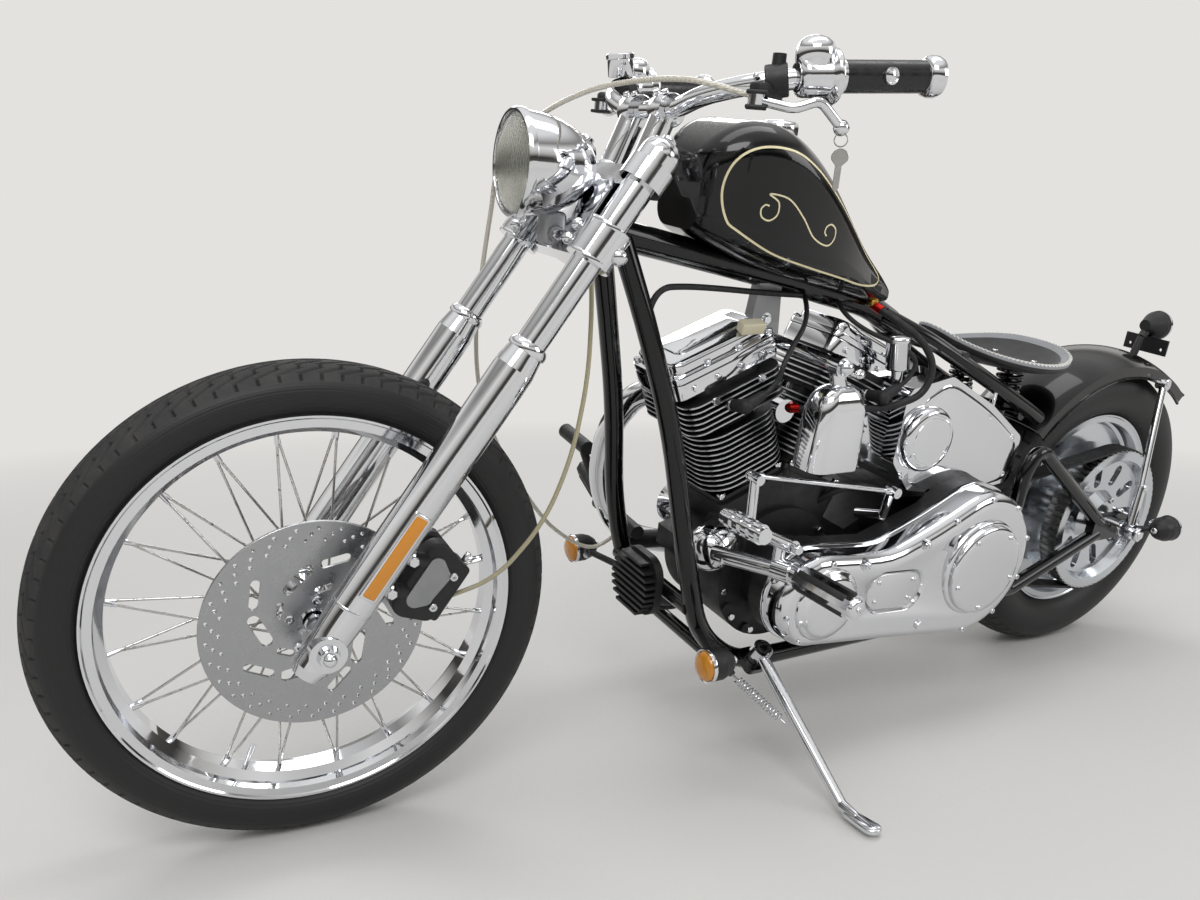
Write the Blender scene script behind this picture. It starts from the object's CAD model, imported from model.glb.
from math import atan2, cos, degrees, hypot, pi, radians, sin, sqrt

import bmesh
import bpy
from mathutils import Euler, Matrix, Vector


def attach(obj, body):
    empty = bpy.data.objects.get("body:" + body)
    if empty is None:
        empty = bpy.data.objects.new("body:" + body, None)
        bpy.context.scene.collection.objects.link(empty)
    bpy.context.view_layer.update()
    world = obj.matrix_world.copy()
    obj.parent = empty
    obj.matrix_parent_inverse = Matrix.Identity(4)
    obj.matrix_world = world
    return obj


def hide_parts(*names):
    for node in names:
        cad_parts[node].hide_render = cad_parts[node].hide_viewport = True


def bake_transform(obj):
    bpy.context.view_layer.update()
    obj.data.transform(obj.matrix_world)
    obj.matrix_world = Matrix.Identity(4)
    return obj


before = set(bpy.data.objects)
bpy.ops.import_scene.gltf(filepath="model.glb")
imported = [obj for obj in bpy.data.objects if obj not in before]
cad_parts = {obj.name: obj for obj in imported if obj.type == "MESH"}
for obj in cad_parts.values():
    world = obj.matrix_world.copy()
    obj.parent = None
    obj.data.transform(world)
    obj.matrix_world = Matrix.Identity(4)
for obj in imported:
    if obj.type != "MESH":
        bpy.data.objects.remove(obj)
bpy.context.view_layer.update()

# A chopper motorcycle leaning on its side stand. Pieces are modelled upright, with the origin on the floor
# below the rear axle, in metres, and then set down in the parked place of the CAD frame.


# Driving sizes, shared with the CAD model

WHEELBASE = 1.645
RAKE = radians(33.5)
FORK_OFFSET = 0.050
FORK_LEG = 0.125
LEAN = radians(-10.97)
PITCH = radians(-0.0318)
RISE = 0.00164
ORIGIN = Vector((0.833, 0.097, 0))
STEER_REST = radians(-5)
FRONT_RADIUS = 0.345
REAR_RADIUS = 0.323

FRONT_AXLE = Vector((WHEELBASE, 0, FRONT_RADIUS))
REAR_AXLE = Vector((0, 0, REAR_RADIUS))
AHEAD = Vector((cos(RAKE), 0, sin(RAKE)))
STEER_AXIS = Vector((-sin(RAKE), 0, cos(RAKE)))
STEER_FOOT = FRONT_AXLE - AHEAD * FORK_OFFSET
ACROSS = Vector((0, 1, 0))
UP = Vector((0, 0, 1))
STEERED_BODIES = ("steering", "front_wheel")


def steered(share):
    """The turn of the bars about the steering axis, by a share of their parked angle."""
    return (Matrix.Translation(STEER_FOOT) @ Matrix.Rotation(STEER_REST * share, 4, STEER_AXIS)
            @ Matrix.Translation(-STEER_FOOT))


UPRIGHT_TO_ROW = (Matrix.Translation((-ORIGIN.x, -ORIGIN.y, RISE))
                  @ Euler((LEAN, PITCH, 0), "XYZ").to_matrix().to_4x4())
PARKED = {body: UPRIGHT_TO_ROW @ steered(1) for body in STEERED_BODIES}


def to_row(point, body=None):
    """A point of the upright bike, on a body, as it stands parked."""
    return PARKED.get(body, UPRIGHT_TO_ROW) @ Vector(point)


def row_direction(direction, body=None):
    """A direction of the upright bike, on a body, as it stands parked."""
    return (PARKED.get(body, UPRIGHT_TO_ROW).to_3x3() @ Vector(direction)).normalized()


def at_fork(ahead, side, height):
    """A point given ahead of, beside and along the steering axis."""
    return STEER_FOOT + AHEAD * ahead + ACROSS * side + STEER_AXIS * height


def on_side(point, side):
    """The same point on one side of the bike."""
    return Vector((point[0], side * point[1], point[2]))


# Materials

def colour(code):
    """An sRGB hex colour as linear RGBA."""
    parts = [int(code[i:i + 2], 16) / 255 for i in (0, 2, 4)]
    return tuple(c / 12.92 if c <= 0.04045 else ((c + 0.055) / 1.055) ** 2.4 for c in parts) + (1.0,)


def add_node(tree, kind, inputs=None, **settings):
    """Add a node with its settings, and link or set its inputs."""
    made = tree.nodes.new(kind)
    for key, value in settings.items():
        setattr(made, key, value)
    for key, value in (inputs or {}).items():
        if isinstance(value, bpy.types.NodeSocket):
            tree.links.new(value, made.inputs[key])
        else:
            made.inputs[key].default_value = value
    return made


def grain(tree, scale, detail, roughness=0.5):
    """Noise over the piece; scale is features for each metre."""
    place = add_node(tree, "ShaderNodeTexCoord").outputs["Object"]
    return add_node(tree, "ShaderNodeTexNoise", {
        "Vector": place, "Scale": scale, "Detail": detail, "Roughness": roughness}).outputs["Fac"]


def dress(made, gloss=None, bump=None, tint=None):
    """Lay patterns on a material. gloss is a pattern, the roughness it runs from and to, and where on the
    pattern it does so. bump is a pattern, its depth in metres and its strength. tint is the base colour. A
    pattern is a socket, or the numbers of a grain."""
    tree = made.node_tree
    shader = tree.nodes["Principled BSDF"]

    def drawn(pattern):
        return grain(tree, *pattern) if isinstance(pattern, tuple) else pattern

    if tint:
        tree.links.new(tint, shader.inputs["Base Color"])
    if gloss:
        pattern, low, high, start, end = gloss
        run = add_node(tree, "ShaderNodeMapRange", {
            "Value": drawn(pattern), "From Min": start, "From Max": end, "To Min": low, "To Max": high})
        tree.links.new(run.outputs["Result"], shader.inputs["Roughness"])
    if bump:
        pattern, depth, strength = bump
        raised = add_node(tree, "ShaderNodeBump", {"Height": drawn(pattern), "Distance": depth,
                                                   "Strength": strength})
        tree.links.new(raised.outputs["Normal"], shader.inputs["Normal"])
    return made


def material(name, base, roughness, metallic=0.0, gloss=None, bump=None, **sockets):
    """A material with one Principled shader; sockets are named with underscores for spaces."""
    made = bpy.data.materials.new(name)
    made.use_nodes = True
    shader = made.node_tree.nodes["Principled BSDF"]
    values = {"Base Color": colour(base), "Roughness": roughness, "Metallic": metallic}
    values.update({key.replace("_", " "): value for key, value in sockets.items()})
    for key, value in values.items():
        shader.inputs[key].default_value = value
    return dress(made, gloss, bump)


def wheel_distance(tree, body):
    """Distance from a wheel's axle, for finishes that run round it."""
    centre = tuple(to_row(FRONT_AXLE if body == "front_wheel" else REAR_AXLE, body))
    axle = tuple(row_direction(ACROSS, body))

    def step(operation, inputs):
        return add_node(tree, "ShaderNodeVectorMath", inputs, operation=operation).outputs

    place = add_node(tree, "ShaderNodeTexCoord").outputs["Object"]
    offset = step("SUBTRACT", {0: place, 1: centre})[0]
    shadow = step("SCALE", {0: axle, "Scale": step("DOT_PRODUCT", {0: offset, 1: axle})["Value"]})[0]
    return step("LENGTH", {0: step("SUBTRACT", {0: offset, 1: shadow})[0]})["Value"]


def turned_metal(name, base, rough, body, fineness, detail, gloss, depth, strength):
    """Metal cut or ground on a lathe: rings round the axle, so many for each metre, under a soft shine."""
    made = material(name, base, rough, 1.0)
    tree = made.node_tree
    distance = wheel_distance(tree, body)
    rings = add_node(tree, "ShaderNodeTexNoise", {"W": distance, "Scale": fineness, "Detail": detail},
                     noise_dimensions="1D").outputs["Fac"]
    return dress(made, (gloss[0] or rings, *gloss[1:]), (rings, depth, strength))


def ground_stainless(name, body):
    """Stainless steel ground flat and worn by the pads: tight rings and a grey mirror."""
    return turned_metal(name, "a9aaac", 0.26, body, 1600.0, 4.0, ((45, 4), 0.2, 0.42, 0.3, 0.75),
                        0.00012, 0.5)


def tyre_rubber(name, body, shoulder):
    """Vulcanised rubber: near black side walls with fine moulded rings, and a crown worn grey and dusty."""
    made = material(name, "18181a", 0.55)
    tree = made.node_tree
    distance = wheel_distance(tree, body)
    rings = add_node(tree, "ShaderNodeTexNoise", {"W": distance, "Scale": 420.0, "Detail": 2.0},
                     noise_dimensions="1D").outputs["Fac"]
    dust = add_node(tree, "ShaderNodeMapRange", {
        "Value": grain(tree, 30, 6, 0.6), "From Min": 0.35, "From Max": 0.75}).outputs[0]
    worn = add_node(tree, "ShaderNodeMix", {"Factor": dust, 6: colour("212122"), 7: colour("343331")},
                    data_type="RGBA")
    crown = add_node(tree, "ShaderNodeMapRange", {
        "Value": distance, "From Min": shoulder - 0.002, "From Max": shoulder + 0.002}).outputs[0]
    tint = add_node(tree, "ShaderNodeMix", {"Factor": crown, 6: colour("0f0f10"), 7: worn.outputs[2]},
                    data_type="RGBA")
    return dress(made, (crown, 0.5, 0.72, 0.0, 1.0), (rings, 0.0005, 1.0), tint.outputs[2])


def tarnished_wire():
    """Chromed wire that has begun to tarnish: brown specks gather along it."""
    made = material("Chrome wire, tarnished", "b9b6b0", 0.16, 1.0)
    tree = made.node_tree
    specks = add_node(tree, "ShaderNodeMapRange", {
        "Value": grain(tree, 260, 5, 0.7), "From Min": 0.55, "From Max": 0.68}).outputs[0]
    tint = add_node(tree, "ShaderNodeMix", {"Factor": specks, 6: colour("c6c5c2"), 7: colour("5a3f28")},
                    data_type="RGBA")
    return dress(made, (specks, 0.12, 0.6, 0.0, 1.0), (specks, 0.0002, 0.3), tint.outputs[2])


def powder_black(name, base, rough):
    """Cast aluminium with baked black powder: fine orange peel and a low sheen."""
    return material(name, base, rough, gloss=((40, 5, 0.6), rough - 0.1, rough + 0.15, 0.3, 0.75),
                    bump=((900, 2), 0.0003, 0.5))


def moulded_rubber(name, base, rough):
    """Moulded rubber for grips, hoses, boots and the belt: matt with a soft bloom."""
    return material(name, base, rough, gloss=((90, 4), rough - 0.12, rough + 0.12, 0.3, 0.7),
                    bump=((1400, 2), 0.0002, 0.4))


def saddle_leather(name, base, rough):
    """Full-grain hide, dyed and waxed: creased cells of about 1.5 mm with worn highlights."""
    made = material(name, base, rough, Sheen_Weight=0.08)
    tree = made.node_tree
    place = add_node(tree, "ShaderNodeTexCoord").outputs["Object"]
    cells = add_node(tree, "ShaderNodeTexVoronoi", {"Vector": place, "Scale": 620.0},
                     feature="DISTANCE_TO_EDGE")
    crease = add_node(tree, "ShaderNodeMapRange", {
        "Value": cells.outputs["Distance"], "From Min": 0.0, "From Max": 0.12}).outputs[0]
    return dress(made, ((26, 5), rough - 0.1, rough + 0.16, 0.3, 0.75), (crease, 0.00025, 0.5))


def lens_plastic(name, base):
    """Acrylic lens, dyed through and moulded, lit from within its own thickness."""
    made = material(name, base, 0.12, Transmission_Weight=0.35, IOR=1.49, Coat_Weight=0.6)
    tree = made.node_tree
    prisms = add_node(tree, "ShaderNodeTexVoronoi", {
        "Vector": add_node(tree, "ShaderNodeTexCoord").outputs["Object"], "Scale": 380.0}).outputs["Distance"]
    return dress(made, bump=(prisms, 0.0006, 0.5))


def clear_hose(name, base):
    """Braided line under a clear vinyl jacket: a fine crossed weave seen through gloss."""
    made = material(name, base, 0.32, Coat_Weight=0.8, Coat_Roughness=0.08)
    tree = made.node_tree
    braid = add_node(tree, "ShaderNodeTexChecker", {
        "Vector": add_node(tree, "ShaderNodeTexCoord").outputs["Object"], "Scale": 900,
        "Color1": colour(base), "Color2": colour("8f8a78")})
    return dress(made, bump=(braid.outputs["Fac"], 0.0002, 0.4), tint=braid.outputs["Color"])


def plain_metal(name, base, rough):
    """Small turned or plated fittings, with a slight unevenness of finish."""
    return material(name, base, rough, 1.0, gloss=((160, 4), rough * 0.7, rough * 1.5, 0.3, 0.7))


def plain_paint(name, base, rough):
    """Brushed or moulded trim of one colour, with a slight unevenness of gloss."""
    return material(name, base, rough, gloss=((120, 4), rough * 0.75, rough * 1.3, 0.3, 0.7))


# Steel plated with chromium and buffed: near mirror, with a faint haze of wiping marks
CHROME = material("Chrome plate, buffed", "dcdde0", 0.05, 1.0, gloss=((22, 6, 0.65), 0.03, 0.13, 0.35, 0.75),
                  bump=((60, 2), 0.00012, 0.25))
WIRE = tarnished_wire()
# Frame and tank enamel, sprayed and clear-coated: deep black under a glassy skin
LACQUER = material("Black enamel, clear-coated", "030304", 0.22, gloss=((14, 5), 0.16, 0.34, 0.3, 0.8),
                   bump=((180, 1), 0.0001, 0.12), Coat_Weight=1.0, Coat_Roughness=0.02, Coat_IOR=1.36,
                   Specular_IOR_Level=0.15)
POWDER = powder_black("Black powder coat", "111113", 0.5)
FIN_BLACK = powder_black("Black engine enamel", "0c0c0d", 0.42)
# Fin edges milled bare through the black: bright aluminium with cutter lines
MILLED = material("Aluminium, milled edge", "c3c5c8", 0.3, 1.0, gloss=((700, 2, 0.5), 0.22, 0.42, 0.0, 1.0))
# Aluminium spun on a lathe and polished: faint rings round the axle
SPUN = turned_metal("Aluminium, spun and polished", "cdd0d4", 0.16, "rear_wheel", 900.0, 3.0,
                    (None, 0.1, 0.24, 0.3, 0.7), 0.00008, 0.35)
SPUN_LID = plain_metal("Aluminium, polished flat", "d9dadc", 0.16)
FRONT_STEEL = ground_stainless("Stainless steel, ground, front", "front_wheel")
REAR_STEEL = ground_stainless("Stainless steel, ground, rear", "rear_wheel")
FRONT_RUBBER = tyre_rubber("Tyre rubber, front", "front_wheel", FRONT_RADIUS - 0.020)
REAR_RUBBER = tyre_rubber("Tyre rubber, rear", "rear_wheel", REAR_RADIUS - 0.024)
RUBBER = moulded_rubber("Black rubber, moulded", "121214", 0.6)
GRIP = moulded_rubber("Black grip sleeve, smoked plastic", "17171a", 0.28)
LEATHER = saddle_leather("Black hide, waxed", "131315", 0.4)
EDGE_LEATHER = saddle_leather("Grey hide edge, skived", "8b8d90", 0.5)
# Sand-cast aluminium, tumbled: grey with a fine sparkle of grain
CAST = material("Aluminium, sand cast", "9a9b9d", 0.42, 1.0, gloss=((60, 4), 0.34, 0.56, 0.3, 0.7),
                bump=((1100, 3, 0.7), 0.0004, 0.5))
# Pressed lamp glass: clear, faintly straw, its flutes on the inside
GLASS = material("Lamp glass, pressed", "f1f2ea", 0.03, bump=((240, 2), 0.0002, 0.3),
                 Transmission_Weight=0.92, IOR=1.52)
AMBER = lens_plastic("Amber acrylic", "e8981a")
RED_LENS = lens_plastic("Red acrylic", "6e0f0c")
CABLE_CLEAR = clear_hose("Braided line, clear jacket", "dcd8cc")
HOSE_CLEAR = clear_hose("Braided hose, yellowed jacket", "a89f78")
BRASS = plain_metal("Brass, turned", "b48a3c", 0.3)
ANODISED = plain_metal("Aluminium, red anodised", "a8201c", 0.3)
STEEL = plain_metal("Steel, zinc plated", "b3b2ae", 0.3)
CREAM = plain_paint("Cream striping enamel", "e6dcb4", 0.35)
WHITE_CORD = plain_paint("White leather lacing", "e9e7e0", 0.7)
CONNECTOR = plain_paint("Nylon connector, natural", "c9c2a8", 0.5)
YELLOW_TAPE = plain_paint("Yellow vinyl tape", "c9a21c", 0.45)
PALE_FLOOR = plain_paint("Pale studio floor", "d9d8d5", 0.6)


# Each finish with its slot and the CAD pieces it covers

COVERS = (
    (CHROME, "chrome", "rocker_covers cam_cover pushrod_tubes air_cleaner exhaust_pipes horn outer_primary "
     "oil_tank fender_struts left_foot_control side_stand stand_spring front_axle fork_tubes fork_sliders "
     "lower_clamp upper_clamp handlebar left_control right_control headlamp_shell front_rim front_hub "
     "rear_axle"),
    (WIRE, "chrome", "front_spokes"),
    (LACQUER, "black_paint", "frame_backbone frame_rails frame_top_tubes frame_crossmembers swingarm "
     "fuel_tank rear_fender seat_springs stand_bracket"),
    (POWDER, "black_satin", "crankcase transmission inner_primary voltage_regulator right_foot_control "
     "tail_lamp turn_signals front_caliper"),
    (FIN_BLACK, "fin_black", "cylinders"),
    (MILLED, "fin_black", ""),
    (SPUN, "polished_alloy", "rear_wheel rear_pulley"),
    (FRONT_STEEL, "stainless", "front_disc"),
    (REAR_STEEL, "stainless", "rear_disc front_pulley"),
    (STEEL, "stainless", ""),
    (FRONT_RUBBER, "tyre_rubber", "front_tyre"),
    (REAR_RUBBER, "tyre_rubber", "rear_tyre"),
    (RUBBER, "black_rubber", "drive_belt fuel_hose grips"),
    (GRIP, "black_rubber", ""),
    (LEATHER, "black_leather", "seat"),
    (EDGE_LEATHER, "black_leather", ""),
    (CAST, "cast_grey", "top_mount"),
    (GLASS, "lens_glass", "headlamp_lens"),
    (AMBER, "amber_lens", "lamp_lenses"),
    (RED_LENS, "amber_lens", ""),
    (CABLE_CLEAR, "clear_hose", "clutch_cable"),
    (HOSE_CLEAR, "clear_hose", "front_brake_hose"),
)
for finish, _, nodes in COVERS:
    for node in nodes.split():
        cad_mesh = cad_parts[node].data
        cad_mesh.materials.clear()
        cad_mesh.materials.append(finish)


# Shaping

def only(geometry, kind):
    """The vertices, edges or faces of a mixed list."""
    return [item for item in geometry if isinstance(item, kind)]


def ease(bm, edges, width, segments=1):
    """Round edges over."""
    bmesh.ops.bevel(bm, geom=edges, offset=width, segments=segments, profile=0.5, affect="EDGES",
                    material=-1)


def rod(bm, start, end, radius, end_radius=None, segments=24):
    """A round bar or cone between two points."""
    start, end = Vector(start), Vector(end)
    run = end - start
    turn = run.to_track_quat("Z", "Y").to_matrix().to_4x4()
    if end_radius is None:
        end_radius = radius
    bmesh.ops.create_cone(bm, cap_ends=True, segments=segments, radius1=radius, radius2=end_radius,
                          depth=run.length, matrix=Matrix.Translation((start + end) / 2) @ turn)


def globe(bm, centre, radius, segments=24):
    """A ball."""
    bmesh.ops.create_uvsphere(bm, u_segments=segments, v_segments=segments // 2, radius=radius,
                              matrix=Matrix.Translation(Vector(centre)))


def facing(direction, centre=(0, 0, 0), side=None):
    """A place whose Z axis points along a direction, and whose X axis points to a side if one is given."""
    z = Vector(direction).normalized()
    x = Vector(side) if side else (Vector((1, 0, 0)) if abs(z.x) < 0.9 else Vector((0, 1, 0)))
    x = (x - z * x.dot(z)).normalized()
    turn = Matrix((x, z.cross(x), z)).transposed().to_4x4()
    return Matrix.Translation(Vector(centre)) @ turn


def around(place, ring, turn, height=0):
    """A point on a circle about the Z axis of a place."""
    return place @ Vector((ring * cos(turn), ring * sin(turn), height))


def spun(bm, profile, place, steps=48, closed=False):
    """A turned form: a profile of (radius, height) pairs spun about the Z axis of a place."""
    old = set(bm.verts)
    points = [bm.verts.new((radius, 0, height)) for radius, height in profile]
    edges = [bm.edges.new(pair) for pair in zip(points, points[1:] + points[:1] * closed)]
    bmesh.ops.spin(bm, geom=points + edges, cent=(0, 0, 0), axis=(0, 0, 1), angle=2 * pi, steps=steps,
                   use_merge=True, use_duplicate=False)
    made = [vert for vert in bm.verts if vert not in old]
    bmesh.ops.transform(bm, matrix=place, verts=made)
    bmesh.ops.remove_doubles(bm, verts=made, dist=1e-6)


def plate(bm, outline, thickness, place, bevel=0.0, segments=2):
    """A flat plate: an outline of (x, y) pairs raised along the Z axis of a place, with eased edges."""
    old = set(bm.verts)
    face = bm.faces.new([bm.verts.new((x, y, 0)) for x, y in outline])
    raised = bmesh.ops.extrude_face_region(bm, geom=[face])["geom"]
    bmesh.ops.translate(bm, verts=only(raised, bmesh.types.BMVert), vec=(0, 0, thickness))
    if bevel:
        ease(bm, only(raised, bmesh.types.BMEdge), bevel, segments)
    bmesh.ops.transform(bm, matrix=place, verts=[vert for vert in bm.verts if vert not in old])


def rounded_box(bm, size, place, bevel=0.003, segments=3):
    """A block with eased edges, centred in a place."""
    made = bmesh.ops.create_cube(bm, size=1, matrix=place @ Matrix.Diagonal((*size, 1)))["verts"]
    ease(bm, list(dict.fromkeys(edge for vert in made for edge in vert.link_edges)), bevel, segments)


def hexagon(bm, centre, direction, across, height):
    """A bolt's head with six flats."""
    middle = Vector(centre) + Vector(direction).normalized() * height / 2
    made = bmesh.ops.create_cone(bm, cap_ends=True, segments=6, radius1=across / 2, radius2=across / 2,
                                 depth=height, matrix=facing(direction, middle))["verts"]
    ease(bm, list(dict.fromkeys(edge for vert in made for edge in vert.link_edges)), height * 0.12)


def socket_screw(bm, centre, direction, radius, height):
    """A cap screw: a round head with a hollow middle."""
    spun(bm, [(0.0, 0), (radius, 0), (radius, height * 0.8), (radius * 0.85, height), (radius * 0.5, height),
              (radius * 0.45, height * 0.35), (0.0, height * 0.35)], facing(direction, centre), steps=20)


def lathe(bm, profile, place, steps=48, closed=False):
    """A turned form from a profile in millimetres."""
    spun(bm, [(radius * 0.001, height * 0.001) for radius, height in profile], place, steps, closed)


def arc(centre, radius, start, end, count):
    """Points of an arc in a plane, angles in degrees."""
    angles = [radians(start + (end - start) * k / count) for k in range(count + 1)]
    return [(centre[0] + radius * cos(angle), centre[1] + radius * sin(angle)) for angle in angles]


def inset(outline, distance):
    """An outline drawn in by a distance; it runs counterclockwise."""
    count = len(outline)
    drawn = []
    for k, (x, y) in enumerate(outline):
        before, after = outline[k - 1], outline[(k + 1) % count]
        along = Vector((after[0] - before[0], after[1] - before[1])).normalized()
        drawn.append((x - along.y * distance, y + along.x * distance))
    return drawn


def rounded(length, width, corner, count=6):
    """The outline of a rectangle with round corners."""
    x, y = length / 2 - corner, width / 2 - corner
    return (arc((x, y), corner, 0, 90, count) + arc((-x, y), corner, 90, 180, count)
            + arc((-x, -y), corner, 180, 270, count) + arc((x, -y), corner, 270, 360, count))


def smooth_run(points, closed, steps=10):
    """Places on a smooth line through a route, by the Catmull-Rom rule."""
    count = len(points)
    out = []
    for k in range(count if closed else count - 1):
        near = [k + d if closed else min(max(k + d, 0), count - 1) for d in (-1, 0, 1, 2)]
        a, b, c, d = (Vector(points[n % count]) for n in near)
        for m in range(steps):
            t = m / steps
            out.append(0.5 * (2 * b + (c - a) * t + (2 * a - 5 * b + 4 * c - d) * t ** 2
                              + (3 * b - a - 3 * c + d) * t ** 3))
    return out if closed else out + [Vector(points[-1])]


def evenly(route, count):
    """Places at even steps round a closed route."""
    steps = [(two - one).length for one, two in zip(route, route[1:] + route[:1])]
    stride = sum(steps) / count
    out, travelled = [], 0.0
    for one, two, step in zip(route, route[1:] + route[:1], steps):
        while len(out) < count and len(out) * stride < travelled + step:
            out.append(one.lerp(two, (len(out) * stride - travelled) / step))
        travelled += step
    return out


def place_in_scene(name, data):
    """Link an object to the scene."""
    made = bpy.data.objects.new(name, data)
    bpy.context.scene.collection.objects.link(made)
    return made


def add_evaluated(bm, carrier):
    """Add an object's mesh to shaped geometry, with its bevel or cutters worked out."""
    bpy.context.view_layer.update()
    mesh = bpy.data.meshes.new_from_object(carrier.evaluated_get(bpy.context.evaluated_depsgraph_get()))
    bm.from_mesh(mesh)
    bpy.data.meshes.remove(mesh)


def swept(bm, points, radius, order=3, resolution=8, bevel=4, straight=False):
    """A round line laid along a NURBS curve through a route."""
    line = bpy.data.curves.new("route", "CURVE")
    line.dimensions = "3D"
    spline = line.splines.new("POLY" if straight else "NURBS")
    spline.points.add(len(points) - 1)
    for point, place in zip(spline.points, points):
        point.co = (*place, 1)
    if not straight:
        spline.order_u = order
        spline.use_endpoint_u = True
        spline.resolution_u = resolution
    line.bevel_depth = radius
    line.bevel_resolution = bevel
    line.use_fill_caps = True
    carrier = place_in_scene("route", line)
    add_evaluated(bm, carrier)
    bpy.data.objects.remove(carrier)
    bpy.data.curves.remove(line)


def coil(bm, start, end, radius, wire, turns, per_turn):
    """A coil spring between two points."""
    start, end = Vector(start), Vector(end)
    place = facing(end - start, start)
    length = (end - start).length
    count = int(turns * per_turn)
    points = [around(place, radius, 2 * pi * turns * (k / count), wire + (length - 2 * wire) * (k / count))
              for k in range(count + 1)]
    swept(bm, points, wire, straight=True, bevel=3)


def skinned(bm, rings, start=True, end=True):
    """Skin closed rings of places, one after another, and close the first and the last."""
    loops = []
    for ring in rings:
        verts = [bm.verts.new(place) for place in ring]
        loops.append((verts, [bm.edges.new(pair) for pair in zip(verts, verts[1:] + verts[:1])]))
    for one, two in zip(loops, loops[1:]):
        bmesh.ops.bridge_loops(bm, edges=one[1] + two[1])
    for wanted, loop in ((start, loops[0]), (end, loops[-1])):
        if wanted:
            bm.faces.new(loop[0])


def drilled(plate_mesh, cutters):
    """Cut holes through a plate and return it as shaped geometry."""
    pieces = []
    for bm in (plate_mesh, cutters):
        bmesh.ops.recalc_face_normals(bm, faces=bm.faces)
        mesh = bpy.data.meshes.new("blank")
        bm.to_mesh(mesh)
        bm.free()
        pieces.append(place_in_scene("blank", mesh))
    cut = pieces[0].modifiers.new("holes", "BOOLEAN")
    cut.operation = "DIFFERENCE"
    cut.solver = "EXACT"
    cut.object = pieces[1]
    bm = bmesh.new()
    add_evaluated(bm, pieces[0])
    for piece in pieces:
        mesh = piece.data
        bpy.data.objects.remove(piece)
        bpy.data.meshes.remove(mesh)
    return bm


def settle(bm, name, body, finish, sharp=35, upright=True, node=None):
    """Turn shaped geometry into a piece, set down in its parked place. It rides on a body and takes the place
    of a CAD node where they are named."""
    if upright:
        bmesh.ops.transform(bm, matrix=PARKED.get(body, UPRIGHT_TO_ROW), verts=bm.verts)
    bmesh.ops.remove_doubles(bm, verts=bm.verts, dist=2e-6)
    bmesh.ops.recalc_face_normals(bm, faces=bm.faces)
    for face in bm.faces:
        face.smooth = True
    for edge in bm.edges:
        if len(edge.link_faces) == 2 and edge.calc_face_angle(0) > radians(sharp):
            edge.smooth = False
    mesh = bpy.data.meshes.new(name)
    bm.to_mesh(mesh)
    bm.free()
    finishes = finish if isinstance(finish, list) else [finish]
    for item in finishes:
        mesh.materials.append(item)
    piece = place_in_scene(name, mesh)
    if body:
        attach(piece, body)
    if node:
        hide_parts(node)
    return piece


# Wheels, discs and tyres

DISC_RADIUS = 0.146
DISC_THICK = 0.005
DISC_EYE = 0.024
DISC_EASE = 0.0006
HOLE_ROWS = ((0.121, 0), (0.129, 4), (0.137, 8))
SLOTS = ((0.070, 0.034, 0.016, 0), (0.092, 0.030, 0.012, 34), (0.052, 0.014, 0.010, 30))


def stadium(reach, radius, count=8):
    """The outline of a slot with round ends."""
    return arc((reach, 0), radius, -90, 90, count) + arc((-reach, 0), radius, 90, 270, count)


def rotor(name, body, node, centre, face, finish):
    """A brake disc with three drilled rows, and a carrier with swirled slots and five bolts."""
    place = facing(-ACROSS, centre + ACROSS * face, side=(1, 0, 0))
    bm, holes = bmesh.new(), bmesh.new()
    rim = DISC_RADIUS - DISC_EASE
    spun(bm, [(DISC_EYE, 0), (rim, 0), (DISC_RADIUS, DISC_EASE), (DISC_RADIUS, DISC_THICK - DISC_EASE),
              (rim, DISC_THICK), (DISC_EYE, DISC_THICK)], place, steps=96, closed=True)
    for ring, shift in HOLE_ROWS:
        for k in range(30):
            spot = around(place, ring, radians(12 * k + shift))
            rod(holes, spot + ACROSS * 0.004, spot - ACROSS * 0.009, 0.0027, segments=12)
    for k in range(5):
        for ring, length, width, lag in SLOTS:
            angle = radians(72 * k + lag)
            turn = (place @ Matrix.Translation(around(Matrix(), ring, angle, DISC_THICK / 2))
                    @ Matrix.Rotation(angle + radians(62), 4, "Z"))
            plate(holes, stadium(length / 2, width / 2), 0.02, turn @ Matrix.Translation((0, 0, -0.01)))
    settle(drilled(bm, holes), name, body, finish, node=node)
    bm = bmesh.new()
    for k in range(5):
        socket_screw(bm, around(place, 0.036, radians(72 * k + 20)), ACROSS, 0.0065, 0.006)
    settle(bm, name + "_bolts", body, CHROME)


def bowed(start, middle, end, count):
    """Points of the arc through three points of a plane, without the first."""
    (ax, ay), (bx, by), (cx, cy) = start, middle, end
    spread = 2 * (ax * (by - cy) + bx * (cy - ay) + cx * (ay - by))
    squares = [x * x + y * y for x, y in (start, middle, end)]
    centre = ((squares[0] * (by - cy) + squares[1] * (cy - ay) + squares[2] * (ay - by)) / spread,
              (squares[0] * (cx - bx) + squares[1] * (ax - cx) + squares[2] * (bx - ax)) / spread)
    first, via, last = (degrees(atan2(y - centre[1], x - centre[0])) for x, y in (start, middle, end))
    sweep = (last - first) % 360
    if (via - first) % 360 > sweep:
        sweep -= 360
    return arc(centre, hypot(ax - centre[0], ay - centre[1]), first, first + sweep, count)[1:]


# The tread: where its grooves run along and where they reach, as shares of the crown's half width, how wide
# they are along and across, in pitches, and the half width, slope in metres and sway of the one in the middle
GROOVE_RUNS, RUN_HALF = (0.30, 0.68), 0.10
GROOVE_FROM, GROOVE_TO = 0.17, 0.99
GROOVE_ALONG, GROOVE_ACROSS = 0.17, 0.062
MIDDLE_HALF, MIDDLE_SLOPE, MIDDLE_SWAY = 0.0034, 0.0018, 0.06


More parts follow.
